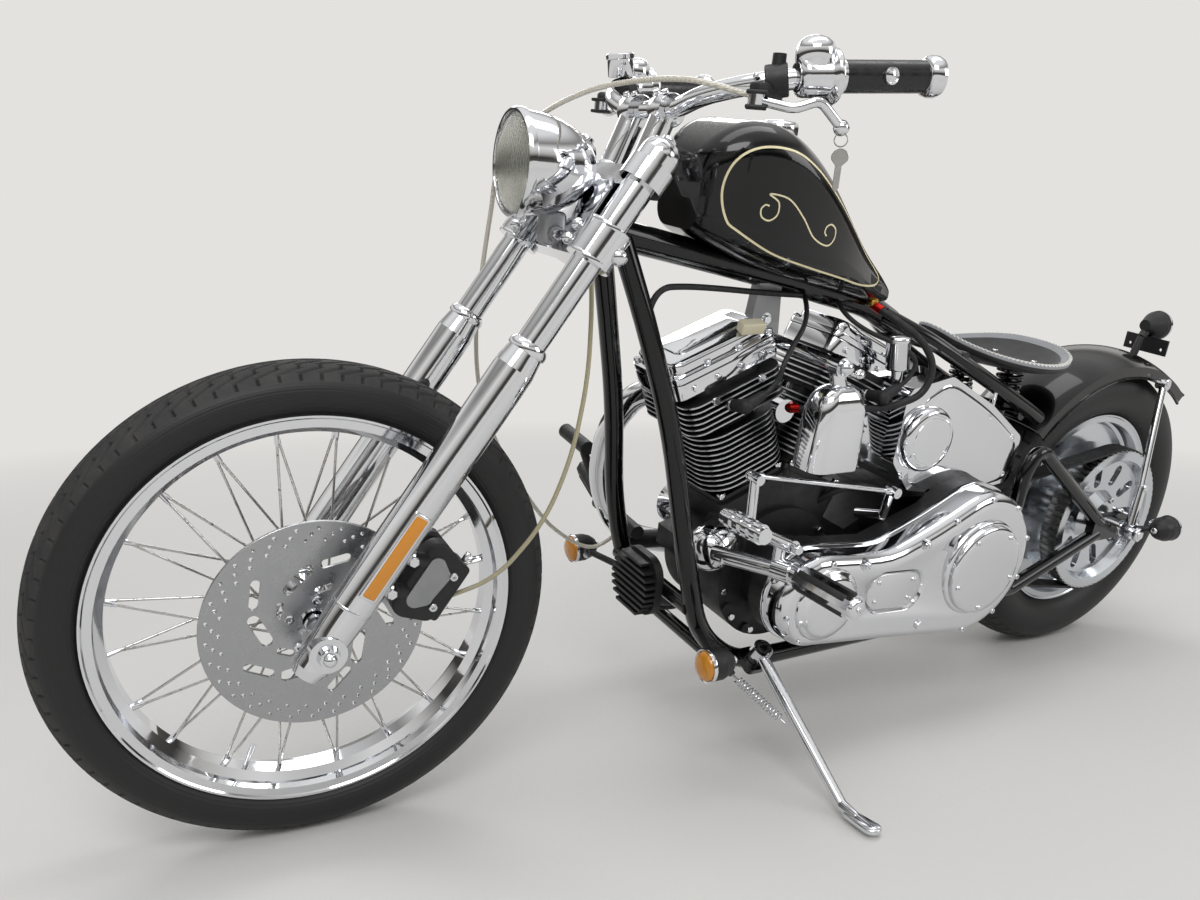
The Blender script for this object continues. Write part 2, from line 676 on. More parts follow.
def tread_cut(turn, across, crown_half, pitches):
    """How far the tread is cut at a place: 0 on the rubber's face, 1 in a groove. Stepped grooves run in from
    the shoulders, across and then along, and a zigzag groove runs round the middle."""
    count = turn * pitches / (2 * pi)
    side = abs(across) / crown_half
    zigzag = crown_half * MIDDLE_SWAY * (2 * abs(count % 2 - 1) - 1)
    middle = min(max((MIDDLE_HALF - abs(across - zigzag)) / MIDDLE_SLOPE, 0), 1)
    if not GROOVE_FROM < side < GROOVE_TO:
        return middle
    steps = sum(min(max((side - run) / (2 * RUN_HALF) + 0.5, 0), 1) for run in GROOVE_RUNS)
    off = abs((count - steps + (0.5 if across > 0 else 0) + 0.5) % 1 - 0.5)
    width = GROOVE_ALONG if any(abs(side - run) < RUN_HALF for run in GROOVE_RUNS) else GROOVE_ACROSS
    return max(middle, min(max((width * 1.3 - off) / (width * 0.6), 0), 1))


WALL = 0.008
TREAD_DEPTH = 0.0040
STEPS_PER_PITCH = 10


def tyre(name, body, node, axle, radius, half, crown_half, crown_drop, bead, rim_half, pitches, finish):
    """A tyre with a hollow section, and its tread cut into the crown. An eighth is spun and then repeated."""
    edge, foot, lip = rim_half - 0.0002, bead + 0.0002, bead + 0.014
    shoulder = radius - crown_drop
    middle = (lip + shoulder) / 2
    outline = [(foot, -edge), (lip, -edge)]
    outline += bowed((lip, -edge), (middle, -half), (shoulder, -crown_half), 10)
    outline += bowed((shoulder, -crown_half), (radius, 0), (shoulder, crown_half), 64)
    outline += bowed((shoulder, crown_half), (middle, half), (lip, edge), 10)
    outline += [(foot, edge), (foot, edge - WALL), (lip, edge - WALL)]
    inner = (shoulder - WALL / 2, crown_half - WALL)
    outline += bowed((lip, edge - WALL), (middle, half - WALL), inner, 4)
    outline += bowed(inner, (radius - WALL * 1.4, 0), (inner[0], -inner[1]), 8)
    outline += bowed((inner[0], -inner[1]), (middle, WALL - half), (lip, WALL - edge), 4)
    outline += [(foot, WALL - edge)]
    bm = bmesh.new()
    ring = [bm.verts.new((out, 0, across)) for out, across in outline]
    section = [bm.edges.new(pair) for pair in zip(ring, ring[1:] + ring[:1])]
    bmesh.ops.spin(bm, geom=ring + section, cent=(0, 0, 0), axis=(0, 0, 1), angle=pi / 4,
                   steps=pitches * STEPS_PER_PITCH // 8, use_merge=False, use_duplicate=False)
    for turn in (pi / 4, pi / 2, pi):
        copy = bmesh.ops.duplicate(bm, geom=bm.verts[:] + bm.edges[:] + bm.faces[:])["geom"]
        bmesh.ops.rotate(bm, cent=(0, 0, 0), matrix=Matrix.Rotation(turn, 3, "Z"),
                         verts=only(copy, bmesh.types.BMVert))
    bmesh.ops.remove_doubles(bm, verts=bm.verts, dist=1e-5)
    for vert in bm.verts:
        across = vert.co.z
        out = hypot(vert.co.x, vert.co.y)
        crown = radius - crown_drop * (across / crown_half) ** 2
        if out > crown - 0.002 and abs(across) < crown_half:
            vert.co.xy *= 1 - TREAD_DEPTH * tread_cut(atan2(vert.co.y, vert.co.x), across, crown_half,
                                                      pitches) / out
    bmesh.ops.transform(bm, matrix=facing(ACROSS, axle), verts=bm.verts)
    settle(bm, name, body, finish, node=node)


SPOKE_LEAN = 63


def laced_wheel():
    """Spoke nipples, hub rings and a valve for the front wheel."""
    bm = bmesh.new()
    for side in (-1, 1):
        for lead, rim_y in ((1, 0.009), (-1, 0.003)):
            for k in range(10):
                turn = radians(36 * k + 9 * (side + lead) + lead * SPOKE_LEAN)
                out = Vector((cos(turn), 0, sin(turn)))
                head = FRONT_AXLE + out * 0.2535 + ACROSS * (side * rim_y)
                foot_turn = turn - radians(lead * SPOKE_LEAN)
                foot = FRONT_AXLE + Vector((0.034 * cos(foot_turn), side * (0.036 if lead > 0 else 0.028),
                                            0.034 * sin(foot_turn)))
                inward = (foot - head).normalized()
                rod(bm, head - inward * 0.002, head + inward * 0.012, 0.0036, 0.0029, segments=10)
                rod(bm, head + inward * 0.011, head + inward * 0.017, 0.0029, 0.0022, segments=10)
    out = Vector((cos(radians(-70)), 0, sin(radians(-70))))
    root = FRONT_AXLE + out * 0.249
    rod(bm, root + out * 0.006, root - out * 0.018, 0.0035, segments=12)
    rod(bm, root - out * 0.016, root - out * 0.030, 0.0046, 0.0040, segments=12)
    settle(bm, "front_nipples", "front_wheel", CHROME)
    bm = bmesh.new()
    place = facing(ACROSS, FRONT_AXLE)
    for height in (-0.034, -0.030, 0.030, 0.034):
        spun(bm, [(0.0395, height - 0.0012), (0.0412, height), (0.0395, height + 0.0012)], place, steps=48,
             closed=True)
    settle(bm, "front_hub_rings", "front_wheel", CHROME)


# Fork, clamps and headlamp

def fork_trim():
    """Slider collars, caps, drain screws, the reflector and the clamp's covers."""
    bm = bmesh.new()
    for side in (-1, 1):
        leg = side * FORK_LEG
        place = facing(STEER_AXIS, at_fork(FORK_OFFSET, leg, 0), side=AHEAD)
        lathe(bm, [(20.7, 452.5), (26.2, 452.5), (27.2, 456), (26.2, 461.5), (23.5, 465.5), (20.7, 466.5)],
              place, steps=40, closed=True)
        lathe(bm, [(27.9, 59), (28.6, 60), (28.6, 62.5), (27.9, 63.5)], place, steps=40, closed=True)
        for height in (0.6415, 0.5945):
            spun(bm, [(0.0206, height - 0.003), (0.0315, height - 0.003), (0.0323, height),
                      (0.0315, height + 0.003), (0.0206, height + 0.003)], place, steps=40, closed=True)
        lathe(bm, [(0, 776.8), (10, 776.2), (19.5, 772.5), (24.5, 766.5), (26.8, 757), (26.8, 740.5),
                   (20.6, 740.5)], place, steps=40)
        hexagon(bm, at_fork(FORK_OFFSET, leg, 0.7755), STEER_AXIS, 0.022, 0.006)
        socket_screw(bm, at_fork(FORK_OFFSET - 0.006, leg + side * 0.0265, 0.006), ACROSS * side, 0.0055,
                     0.004)
    settle(bm, "fork_collars", "steering", CHROME)

    bm = bmesh.new()
    for side in (-1, 1):
        for height in (0.606, 0.628):
            globe(bm, at_fork(FORK_OFFSET + 0.027, side * 0.094, height), 0.0085, 16)
        globe(bm, at_fork(FORK_OFFSET - 0.022, side * 0.148, 0.618), 0.012, 20)
    cover = facing(AHEAD, at_fork(FORK_OFFSET + 0.0025, 0, 0.672), side=ACROSS)
    outline = [(-0.062, -0.040), (-0.046, -0.054), (0.046, -0.054), (0.062, -0.040), (0.062, 0.030),
               (0.040, 0.046), (-0.040, 0.046), (-0.062, 0.030)]
    plate(bm, outline, 0.0035, cover, 0.0012)
    settle(bm, "clamp_cover", "steering", CHROME)

    bm = bmesh.new()
    place = facing(ACROSS, at_fork(FORK_OFFSET + 0.001, FORK_LEG + 0.0275, 0.148), side=STEER_AXIS)
    rounded_box(bm, (0.128, 0.025, 0.006), place, 0.0025)
    settle(bm, "reflector_border", "steering", CHROME)
    bm = bmesh.new()
    rounded_box(bm, (0.122, 0.019, 0.0085), place, 0.003)
    settle(bm, "reflector_lens", "steering", AMBER)


CALIPER_BOLTS = (0.100, 0.150)


def brake_caliper():
    """The front caliper: a rounded body with a kidney-shaped pale inset, two bolts and a bleed screw."""
    bm = bmesh.new()
    place = facing(ACROSS, at_fork(FORK_OFFSET - 0.092, 0.069, 0.125), side=AHEAD)
    outline = (arc((0.012, 0.036), 0.022, 0, 100, 8) + arc((-0.018, 0.034), 0.016, 100, 190, 6)
               + arc((-0.020, -0.030), 0.016, 180, 260, 6) + arc((0.010, -0.034), 0.024, 270, 360, 8))
    plate(bm, outline, 0.026, place, 0.005, 3)
    plate(bm, outline, 0.022, place @ Matrix.Translation((0, 0, -0.040)), 0.005, 3)
    rounded_box(bm, (0.022, 0.088, 0.060), place @ Matrix.Translation((-0.030, 0, -0.006)), 0.006)
    for height in CALIPER_BOLTS:
        rod(bm, at_fork(FORK_OFFSET - 0.034, 0.117, height), at_fork(FORK_OFFSET - 0.062, 0.094, height),
            0.010)
    settle(bm, "caliper_body", "steering", POWDER, node="front_caliper")
    bm = bmesh.new()
    inset = (arc((0.006, 0.026), 0.013, -10, 120, 8) + arc((-0.006, 0.020), 0.010, 120, 200, 5)
             + arc((-0.010, -0.018), 0.010, 160, 240, 5) + arc((0.006, -0.026), 0.013, 250, 370, 8))
    plate(bm, inset, 0.003, place @ Matrix.Translation((0.002, 0, 0.0255)), 0.001)
    settle(bm, "caliper_inset", "steering", CAST)
    bm = bmesh.new()
    for height in CALIPER_BOLTS:
        hexagon(bm, at_fork(FORK_OFFSET - 0.034, 0.128, height), ACROSS, 0.015, 0.007)
        socket_screw(bm, at_fork(FORK_OFFSET - 0.112, 0.095, height), ACROSS, 0.006, 0.006)
    hexagon(bm, at_fork(FORK_OFFSET - 0.120, 0.080, 0.172), STEER_AXIS, 0.010, 0.014)
    settle(bm, "caliper_bolts", "steering", CHROME)


CABLE = (
    # a point of the upright bike, and its share of the parked steering angle
    ((1.162, 0.216, 1.053), 1), ((1.219, 0.168, 1.066), 1), ((1.262, 0.100, 1.062), 1),
    ((1.296, 0.020, 1.046), 1), ((1.326, -0.066, 1.010), 1), ((1.350, -0.128, 0.950), 1),
    ((1.348, -0.165, 0.874), 1), ((1.353, -0.174, 0.772), 0.8), ((1.350, -0.180, 0.676), 0.5),
    ((1.332, -0.183, 0.583), 0.25), ((1.292, -0.182, 0.492), 0), ((1.236, -0.180, 0.402), 0),
    ((1.172, -0.176, 0.326), 0), ((1.096, -0.165, 0.286), 0), ((1.036, -0.150, 0.330), 0))


def clutch_line():
    """The clutch cable: it turns with the bars down to the lower clamp, and bends from there to the case."""
    route = [steered(share) @ Vector(point) for point, share in CABLE]
    bm = bmesh.new()
    swept(bm, smooth_run(route, False, 8), 0.0035, straight=True)
    line = settle(bm, "clutch_line", None, CABLE_CLEAR)
    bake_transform(line)
    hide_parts("clutch_cable")


GLASS_RADIUS = 0.0648
FLUTE = 0.005
FLUTE_DEPTH = 0.00045


def headlamp():
    """A teardrop shell with a beaded rim, a fluted glass before its bowl, and a cast bracket."""
    centre = Vector((1.379, 0, 0.952))
    place = facing((1, 0, 0), centre, side=(0, 0, 1))
    bm = bmesh.new()
    shell = [(0.0, -0.1205), (0.010, -0.1195), (0.024, -0.113), (0.040, -0.100), (0.053, -0.080),
             (0.0625, -0.056), (0.0675, -0.032), (0.0690, -0.012), (0.0690, -0.0095), (0.0715, -0.0085),
             (0.0722, -0.0045), (0.0715, 0.0005), (0.0692, 0.0035), (0.0662, 0.0030), (0.0652, 0.0),
             (0.0652, -0.011), (0.0, -0.0112)]
    spun(bm, shell, place, steps=72)
    settle(bm, "headlamp_bucket", "steering", CHROME, sharp=50, node="headlamp_shell")
    bm = bmesh.new()
    lathe(bm, [(63.5, -3), (52, -5.2), (34, -8), (16, -10), (0, -10.4)], place, steps=72)
    settle(bm, "headlamp_bowl", "steering", CHROME)
    bm = bmesh.new()
    rod(bm, centre + Vector((-0.010, 0, 0)), centre + Vector((-0.003, 0, 0)), 0.009, 0.006)
    settle(bm, "headlamp_bulb", "steering", CAST)
    bm = bmesh.new()
    bmesh.ops.create_grid(bm, x_segments=20, y_segments=208, size=1)
    for vert in bm.verts:
        up, across = vert.co.x * sqrt(1 - vert.co.y ** 2 / 2), vert.co.y * sqrt(1 - vert.co.x ** 2 / 2)
        out = hypot(up, across)
        ribs = FLUTE_DEPTH * cos(2 * pi * across * GLASS_RADIUS / FLUTE) * min((1 - out) * 12, 1)
        vert.co = (up * GLASS_RADIUS, across * GLASS_RADIUS, 0.0125 - 0.0135 * out ** 2.2 + ribs)
    bmesh.ops.solidify(bm, geom=bm.faces[:], thickness=0.003)
    bmesh.ops.transform(bm, matrix=place, verts=bm.verts)
    settle(bm, "headlamp_glass", "steering", GLASS, sharp=60, node="headlamp_lens")
    bm = bmesh.new()
    foot = at_fork(FORK_OFFSET - 0.004, 0, 0.624)
    stem = centre + Vector((-0.062, 0, -0.088))
    rounded_box(bm, (0.034, 0.030, 0.046), Matrix.Translation(stem + UP * 0.006), 0.007)
    rod(bm, stem, foot, 0.0145, 0.0175)
    for side in (-1, 1):
        rod(bm, stem + ACROSS * 0.013 * side, stem + ACROSS * 0.020 * side, 0.012, 0.011)
    settle(bm, "headlamp_bracket", "steering", CAST)
    bm = bmesh.new()
    for side in (-1, 1):
        hexagon(bm, stem + ACROSS * 0.020 * side, ACROSS * side, 0.017, 0.008)
    hexagon(bm, centre + Vector((-0.020, 0, -0.0705)), (0, 0, -1), 0.010, 0.006)
    settle(bm, "headlamp_bolts", "steering", CHROME)


# Handlebar and controls

BAR = [Vector(p) for p in ((1.180, 0, 1.036), (1.180, 0.072, 1.037), (1.176, 0.126, 1.053),
                           (1.150, 0.188, 1.067), (1.085, 0.2344, 1.0815), (0.944, 0.270, 1.095))]


def hand_controls():
    """Grips with bright rings and caps, switch housings with domes, perches and levers."""
    for side, hand in ((1, "left"), (-1, "right")):
        end, bend, before = (on_side(BAR[k], side) for k in (-1, -2, -3))
        along = (end - bend).normalized()
        inner = end - along * 0.120
        place = facing(along, inner, side=(0, 0, 1))
        bm = bmesh.new()
        lathe(bm, [(12.8, 1), (19.2, 1), (19.5, 4), (19.5, 116), (19, 119.5), (12.8, 120.5)], place,
              steps=40, closed=True)
        settle(bm, f"{hand}_grip_sleeve", "steering", GRIP, node="grips" if side == 1 else None)
        bm = bmesh.new()
        lathe(bm, [(12.8, 117.5), (20.5, 117.5), (23.8, 120.5), (25.2, 126), (25, 133), (22.5, 138.5),
                   (15, 141.2), (0, 142)], place, steps=40)
        lathe(bm, [(19.6, 3.5), (21.2, 4), (21.8, 6.5), (21.2, 9), (19.6, 9.5)], place, steps=40,
              closed=True)
        out = facing(Vector((0, side, 0)), inner + along * 0.060 + ACROSS * side * 0.0185, side=along)
        lathe(bm, [(0, 5.8), (4.5, 5), (7.5, 3.8), (8.8, 5), (10.2, 4.4), (10.6, 1.8), (9.6, 0)], out,
              steps=28)
        settle(bm, f"{hand}_grip_caps", "steering", CHROME, sharp=45)

        bm = bmesh.new()
        lathe(bm, [(12.8, -48.5), (18, -48.5), (23.6, -45), (24.8, -40), (24.8, -12.5), (26.2, -10.5),
                   (32, -7.2), (33.2, -4.5), (33.2, -1.8), (32.2, 0), (12.8, 0)], place, steps=48,
              closed=True)
        dome = facing((0.1, 0.1 * side, 1), inner - along * 0.026 + Vector((0.002, 0, 0.014)))
        lathe(bm, [(21.5, -4), (24, 4), (24.3, 12), (23.2, 19), (20, 25.5), (14, 30), (7, 32.2), (0, 32.8)],
              dome, steps=40)
        rod(bm, inner - along * 0.050, inner - along * 0.046, 0.0165, segments=32)
        settle(bm, f"{hand}_switch_housing", "steering", CHROME, sharp=45)

        back = (bend - before).normalized()
        perch = bend - back * 0.045
        pivot = perch + on_side((0.032, 0.009, -0.025), side)
        bm = bmesh.new()
        ring = facing(back, perch, side=(0, 0, 1))
        lathe(bm, [(12.8, -14), (19, -14), (20.2, -12.5), (20.2, 12.5), (19, 14), (12.8, 14)], ring,
              steps=36, closed=True)
        rod(bm, perch + UP * 0.010, perch + UP * 0.0315, 0.0088, 0.0084)
        middle = (perch + pivot) / 2 - UP * 0.001
        rounded_box(bm, (0.046, 0.020, 0.018), facing((0, 0, 1), middle, side=pivot - perch), 0.004)
        for rise in (0.0085, -0.0085):
            rounded_box(bm, (0.026, 0.024, 0.005), facing((0, 0, 1), pivot + Vector((0, 0, rise)),
                                                          side=back), 0.002)
        settle(bm, f"{hand}_perch", "steering", POWDER)
        bm = bmesh.new()
        knee, hump, tip = (pivot + on_side(point, side) for point in (
            (-0.030, 0.036, -0.008), (-0.060, 0.046, 0.004), (-0.093, 0.050, -0.024)))
        swept(bm, [pivot, pivot * 0.45 + knee * 0.55, knee, (knee + hump) / 2, hump, (hump + tip) / 2, tip],
              0.0062, bevel=5)
        rod(bm, pivot - UP * 0.006, pivot + UP * 0.006, 0.0105)
        globe(bm, tip, 0.0098, 24)
        socket_screw(bm, pivot + UP * 0.0110, (0, 0, 1), 0.0055, 0.003)
        for shift in (0.008, -0.008):
            socket_screw(bm, perch + back * shift + Vector((0.0200, 0, 0.004)), (1, 0, 0.2), 0.0040, 0.004)
        settle(bm, f"{hand}_lever", "steering", CHROME, sharp=50, node=f"{hand}_control")
        if side == 1:
            bm = bmesh.new()
            ring_centre = tip + Vector((0.001, 0.004, -0.014))
            lathe(bm, [(7.2, 0), (8, 0.8), (8.8, 0), (8, -0.8)], facing((0.7, 0.7, 0.1), ring_centre),
                  steps=24, closed=True)
            key = facing((0.5, 0.86, 0), tip + Vector((0, 0.005, -0.026)), side=(-0.86, 0.5, 0))
            outline = (arc((0, -0.008), 0.0105, -20, 200, 12)
                       + [(-0.0042, -0.018), (-0.0042, -0.044), (0, -0.049), (0.0036, -0.044),
                          (0.0036, -0.018)])
            plate(bm, outline, 0.0022, key, 0.0004, 1)
            settle(bm, "ignition_key", "steering", STEEL)
        else:
            bm = bmesh.new()
            cup = facing((0.15, 0, 1), perch + Vector((0.006, 0, 0.026)))
            lathe(bm, [(0, -6), (19, -6), (20.5, -3), (20.5, 20), (22.2, 21), (22.6, 27.5), (20.5, 29.5),
                       (0, 30)], cup, steps=36)
            settle(bm, "brake_reservoir", "steering", CHROME, sharp=45)

    bm = bmesh.new()
    for side in (-1, 1):
        hub = on_side((1.180, 0.045, 1.036), side)
        lathe(bm, [(12.9, -17), (21, -17), (22.8, -14), (23.2, 0), (22.8, 14), (21, 17), (12.9, 17)],
              facing(ACROSS, hub, side=(0, 0, 1)), steps=36, closed=True)
        foot = at_fork(FORK_OFFSET - 0.026, side * 0.045, 0.741)
        lathe(bm, [(18.5, 0), (21.5, 2), (21.5, 10), (19.2, 13)], facing(hub - foot, foot), steps=36,
              closed=True)
        for lift in (-0.012, 0.012):
            socket_screw(bm, hub + Vector((0.010, side * lift, 0.0205)), (0.45, 0, 0.9), 0.0048, 0.005)
    settle(bm, "riser_caps", "steering", CHROME, sharp=50)


# Engine

CRANK = Vector((0.880, 0, 0.320))
TILT = radians(22.5)
CYLINDERS = {"front": Vector((sin(TILT), 0, cos(TILT))), "rear": Vector((-sin(TILT), 0, cos(TILT)))}
BARREL_FOOT = 0.168
BARREL_TOP = 0.3045
HEAD_TOP = 0.3735
ROCKER_SPLIT = 0.3995
ROCKER_TOP = 0.4295
FIN_PITCH = 0.0095
BARREL_FIN = (0.158, 0.150, 0.046)
HEAD_FIN = (0.186, 0.156, 0.026)
FINS = [(0.194 + k * FIN_PITCH, BARREL_FIN) for k in range(11)]
FINS += [(BARREL_TOP + 0.006 + k * FIN_PITCH, HEAD_FIN) for k in range(6)]


def across_cylinder(direction, height):
    """A place across a cylinder: X forward, Y to the left, Z up the bore."""
    return facing(direction, CRANK + direction * height, side=(1, 0, 0))


def cylinder_pair():
    """The barrels and heads. Each fin's edge is milled bright, and a slot parts the two where they'd meet."""
    for name, direction in CYLINDERS.items():
        side = 1 if name == "front" else -1
        bm = bmesh.new()
        for height, size in FINS:
            plate(bm, rounded(*size), 0.003, across_cylinder(direction, height), 0.0006, 1)
        for face in bm.faces:
            face.normal_update()
            face.material_index = 1 if abs(face.normal.dot(direction)) < 0.3 else 0
        rod(bm, CRANK + direction * BARREL_FOOT, CRANK + direction * BARREL_TOP, 0.060, segments=40)
        plate(bm, rounded(0.136, 0.128, 0.030), HEAD_TOP - BARREL_TOP,
              across_cylinder(direction, BARREL_TOP))
        plate(bm, rounded(0.132, 0.124, 0.012), 0.010, across_cylinder(direction, BARREL_FOOT), 0.002)
        cut = bmesh.ops.bisect_plane(bm, geom=bm.verts[:] + bm.edges[:] + bm.faces[:], clear_outer=True,
                                     plane_co=CRANK + Vector((side * 0.002, 0, 0)), plane_no=(-side, 0, 0))
        bmesh.ops.holes_fill(bm, edges=only(cut["geom_cut"], bmesh.types.BMEdge), sides=0)
        settle(bm, f"{name}_cylinder", "frame", [FIN_BLACK, MILLED], sharp=30,
               node="cylinders" if name == "front" else None)


def rocker_boxes():
    """Two-piece chrome rocker boxes with a dark gasket line, bolts and a domed lid."""
    for name, direction in CYLINDERS.items():
        bm = bmesh.new()
        for foot, top in ((HEAD_TOP, ROCKER_SPLIT - 0.0012), (ROCKER_SPLIT, ROCKER_SPLIT + 0.010)):
            plate(bm, rounded(0.200, 0.128, 0.018), top - foot, across_cylinder(direction, foot), 0.0022)
        plate(bm, rounded(0.184, 0.112, 0.020), 0.0210, across_cylinder(direction, ROCKER_SPLIT + 0.009),
              0.009, 4)
        plate(bm, rounded(0.126, 0.062, 0.014), 0.0028, across_cylinder(direction, ROCKER_TOP), 0.0013)
        settle(bm, f"{name}_rocker_box", "frame", CHROME, sharp=40,
               node="rocker_covers" if name == "front" else None)
        bm = bmesh.new()
        plate(bm, rounded(0.197, 0.125, 0.017), 0.0016, across_cylinder(direction, ROCKER_SPLIT - 0.0014))
        settle(bm, f"{name}_rocker_gasket", "frame", POWDER)
        bm = bmesh.new()
        for x, y in ((0.090, 0.0535), (0.030, 0.0565)):
            for turn_x, turn_y in ((1, 1), (-1, 1), (1, -1), (-1, -1)):
                base = across_cylinder(direction, ROCKER_SPLIT + 0.0095)
                spot = base @ Vector((turn_x * x, turn_y * y, 0))
                hexagon(bm, spot, direction, 0.0125, 0.0065)
        for x in (-0.066, -0.022, 0.022, 0.066):
            for side in (1, -1):
                spot = across_cylinder(direction, HEAD_TOP + 0.012) @ Vector((x, side * 0.0635, 0))
                hexagon(bm, spot, ACROSS * side, 0.0110, 0.0052)
        settle(bm, f"{name}_rocker_bolts", "frame", CHROME)


def spark_plugs():
    """A plug, its boot and a lead on each head, with the leads run back and up beneath the tank."""
    for name, lift, shift, goal in (("front", 0.030, 0.020, (0.868, 0.018, 0.792)),
                                    ("rear", 0.028, -0.004, (0.790, 0.018, 0.776))):
        direction = CYLINDERS[name]
        place = across_cylinder(direction, BARREL_TOP + lift)
        outward = (place.to_3x3() @ Vector((-0.10, 1, 0.20))).normalized()
        root = place @ Vector((shift, 0.060, 0))
        bm = bmesh.new()
        rod(bm, root, root + outward * 0.034, 0.0080, 0.0070)
        hexagon(bm, root + outward * 0.016, outward, 0.020, 0.008)
        settle(bm, f"{name}_plug", "frame", STEEL)
        bm = bmesh.new()
        elbow = root + outward * 0.054
        rod(bm, root + outward * 0.026, elbow, 0.0095, 0.0112)
        globe(bm, elbow, 0.0118, 20)
        back = Vector((-0.78, 0.10, 0.50)).normalized()
        rod(bm, elbow, elbow + back * 0.034, 0.0108, 0.0072)
        tail = elbow + back * 0.030
        swept(bm, [tail, tail + back * 0.030, tail + Vector((-0.030, 0.004, 0.060)),
                   Vector(goal) + Vector((0.010, 0.044, -0.030)), Vector(goal)], 0.0040)
        settle(bm, f"{name}_plug_boot", "frame", RUBBER)


def crankcase_trim():
    """Case bolts, barrel nuts, the domed filter before the crankcase, and the cam cover's screws and disc."""
    bm = bmesh.new()
    for angle in (-70, -40, -10, 20, 140, 165, 190, 215, 245):
        out = Vector((cos(radians(angle)), 0, sin(radians(angle))))
        for side in (1, -1):
            hexagon(bm, CRANK + out * 0.108 + ACROSS * 0.0815 * side, ACROSS * side, 0.013, 0.006)
    for direction in CYLINDERS.values():
        for x in (-0.058, 0.058):
            for y in (-0.060, 0.060):
                hexagon(bm, across_cylinder(direction, 0.177) @ Vector((x, y, 0)), direction, 0.015, 0.009)
        for x in (-0.044, 0.044):
            hexagon(bm, across_cylinder(direction, BARREL_TOP + 0.050) @ Vector((x, 0.0735, 0)), (0, 1, 0.3),
                    0.015, 0.010)
    settle(bm, "case_bolts", "frame", CHROME)

    place = facing((0.86, 0.34, -0.28), Vector((0.990, 0.062, 0.392)))
    bm = bmesh.new()
    lathe(bm, [(0, -10), (34, -10), (38.5, -6), (38.5, 34), (37.2, 46), (33, 55.5), (25, 62.5), (13, 66.5),
               (0, 67.5)], place, steps=48)
    settle(bm, "oil_filter", "frame", CHROME, sharp=50)
    bm = bmesh.new()
    rod(bm, place @ Vector((0, 0, -0.040)), place @ Vector((0, 0, -0.004)), 0.040, 0.043, segments=40)
    settle(bm, "filter_mount", "frame", POWDER)

    bm = bmesh.new()
    centre = CRANK + Vector((0.006, -0.128, 0.020))
    for radius, count in ((0.026, 2), (0.077, 6)):
        for k in range(count):
            angle = 2 * pi * k / count + 0.35
            socket_screw(bm, centre + Vector((radius * cos(angle), -0.001, radius * sin(angle))), -ACROSS,
                         0.0052, 0.0045)
    lathe(bm, [(0, 3.4), (36, 3.2), (39.2, 1.4), (40, 0)], facing(-ACROSS, centre), steps=40)
    settle(bm, "cam_cover_trim", "frame", CHROME)

    bm = bmesh.new()
    for x, z in ((0.918, 0.672), (0.950, 0.676), (0.934, 0.745)):
        hexagon(bm, (x, 0.0178, z), ACROSS, 0.015, 0.007)
        rod(bm, (x, 0.0176, z), (x, 0.0192, z), 0.0105)
    settle(bm, "mount_bolts", "frame", CHROME)


def horn_cover():
    """A tapered bell over the horn, with its bracket, acorn nut and the horn's dark mouth."""
    rings = []
    for z, half_x, half_y, share in ((0.539, 0.046, 0.028, 0.7), (0.541, 0.050, 0.032, 0.7),
                                     (0.552, 0.0505, 0.0325, 0.7), (0.600, 0.0485, 0.0315, 0.62),
                                     (0.636, 0.0450, 0.0300, 0.6), (0.654, 0.0405, 0.0275, 0.7),
                                     (0.666, 0.0325, 0.0225, 0.8), (0.673, 0.0215, 0.0150, 0.9),
                                     (0.676, 0.0080, 0.0060, 0.95)):
        outline = rounded(2 * half_x, 2 * half_y, half_y * share, 8)
        rings.append([(0.886 + x, 0.156 + y, z) for x, y in outline])
    bm = bmesh.new()
    skinned(bm, rings)
    settle(bm, "horn_bell", "frame", CHROME, sharp=50, node="horn")
    bm = bmesh.new()
    rod(bm, (0.886, 0.156, 0.668), (0.896, 0.150, 0.706), 0.0135, 0.0115)
    rod(bm, (0.896, 0.160, 0.704), (0.926, 0.018, 0.716), 0.0110)
    rod(bm, (0.896, 0.146, 0.704), (0.896, 0.170, 0.704), 0.0165, 0.0160, segments=36)
    globe(bm, (0.896, 0.172, 0.704), 0.0125, 24)
    hexagon(bm, (0.862, 0.166, 0.690), (0.1, 0.6, 0.4), 0.016, 0.010)
    rounded_box(bm, (0.044, 0.005, 0.024), facing((0, 1, 0), (0.878, 0.158, 0.694), side=(1, 0, 0.45)),
                0.002)
    settle(bm, "horn_bracket", "frame", CHROME, sharp=50)
    bm = bmesh.new()
    lathe(bm, [(0, 0), (20, 0), (26, -3), (26, -10), (0, -10)], facing((0, 0, -1), (0.886, 0.156, 0.5388)),
          steps=32)
    settle(bm, "horn_mouth", "frame", POWDER)


# Primary drive

CASE = (arc((0.514, 0.334), 0.138, 90, 270, 40) + [(0.600, 0.2060), (0.740, 0.2230)]
        + arc((0.880, 0.320), 0.082, -90, 80, 28)
        + [(0.870, 0.3998), (0.840, 0.3965), (0.800, 0.3925), (0.765, 0.3900), (0.740, 0.3905),
           (0.715, 0.3955), (0.680, 0.4075), (0.640, 0.4225), (0.600, 0.4395), (0.565, 0.4560),
           (0.540, 0.4665)])


def case_at(levels):
    """Rings of the primary case's outline, drawn in and set across by each level."""
    return [[(x, across, z) for x, z in inset(CASE, shrink)] for shrink, across in levels]


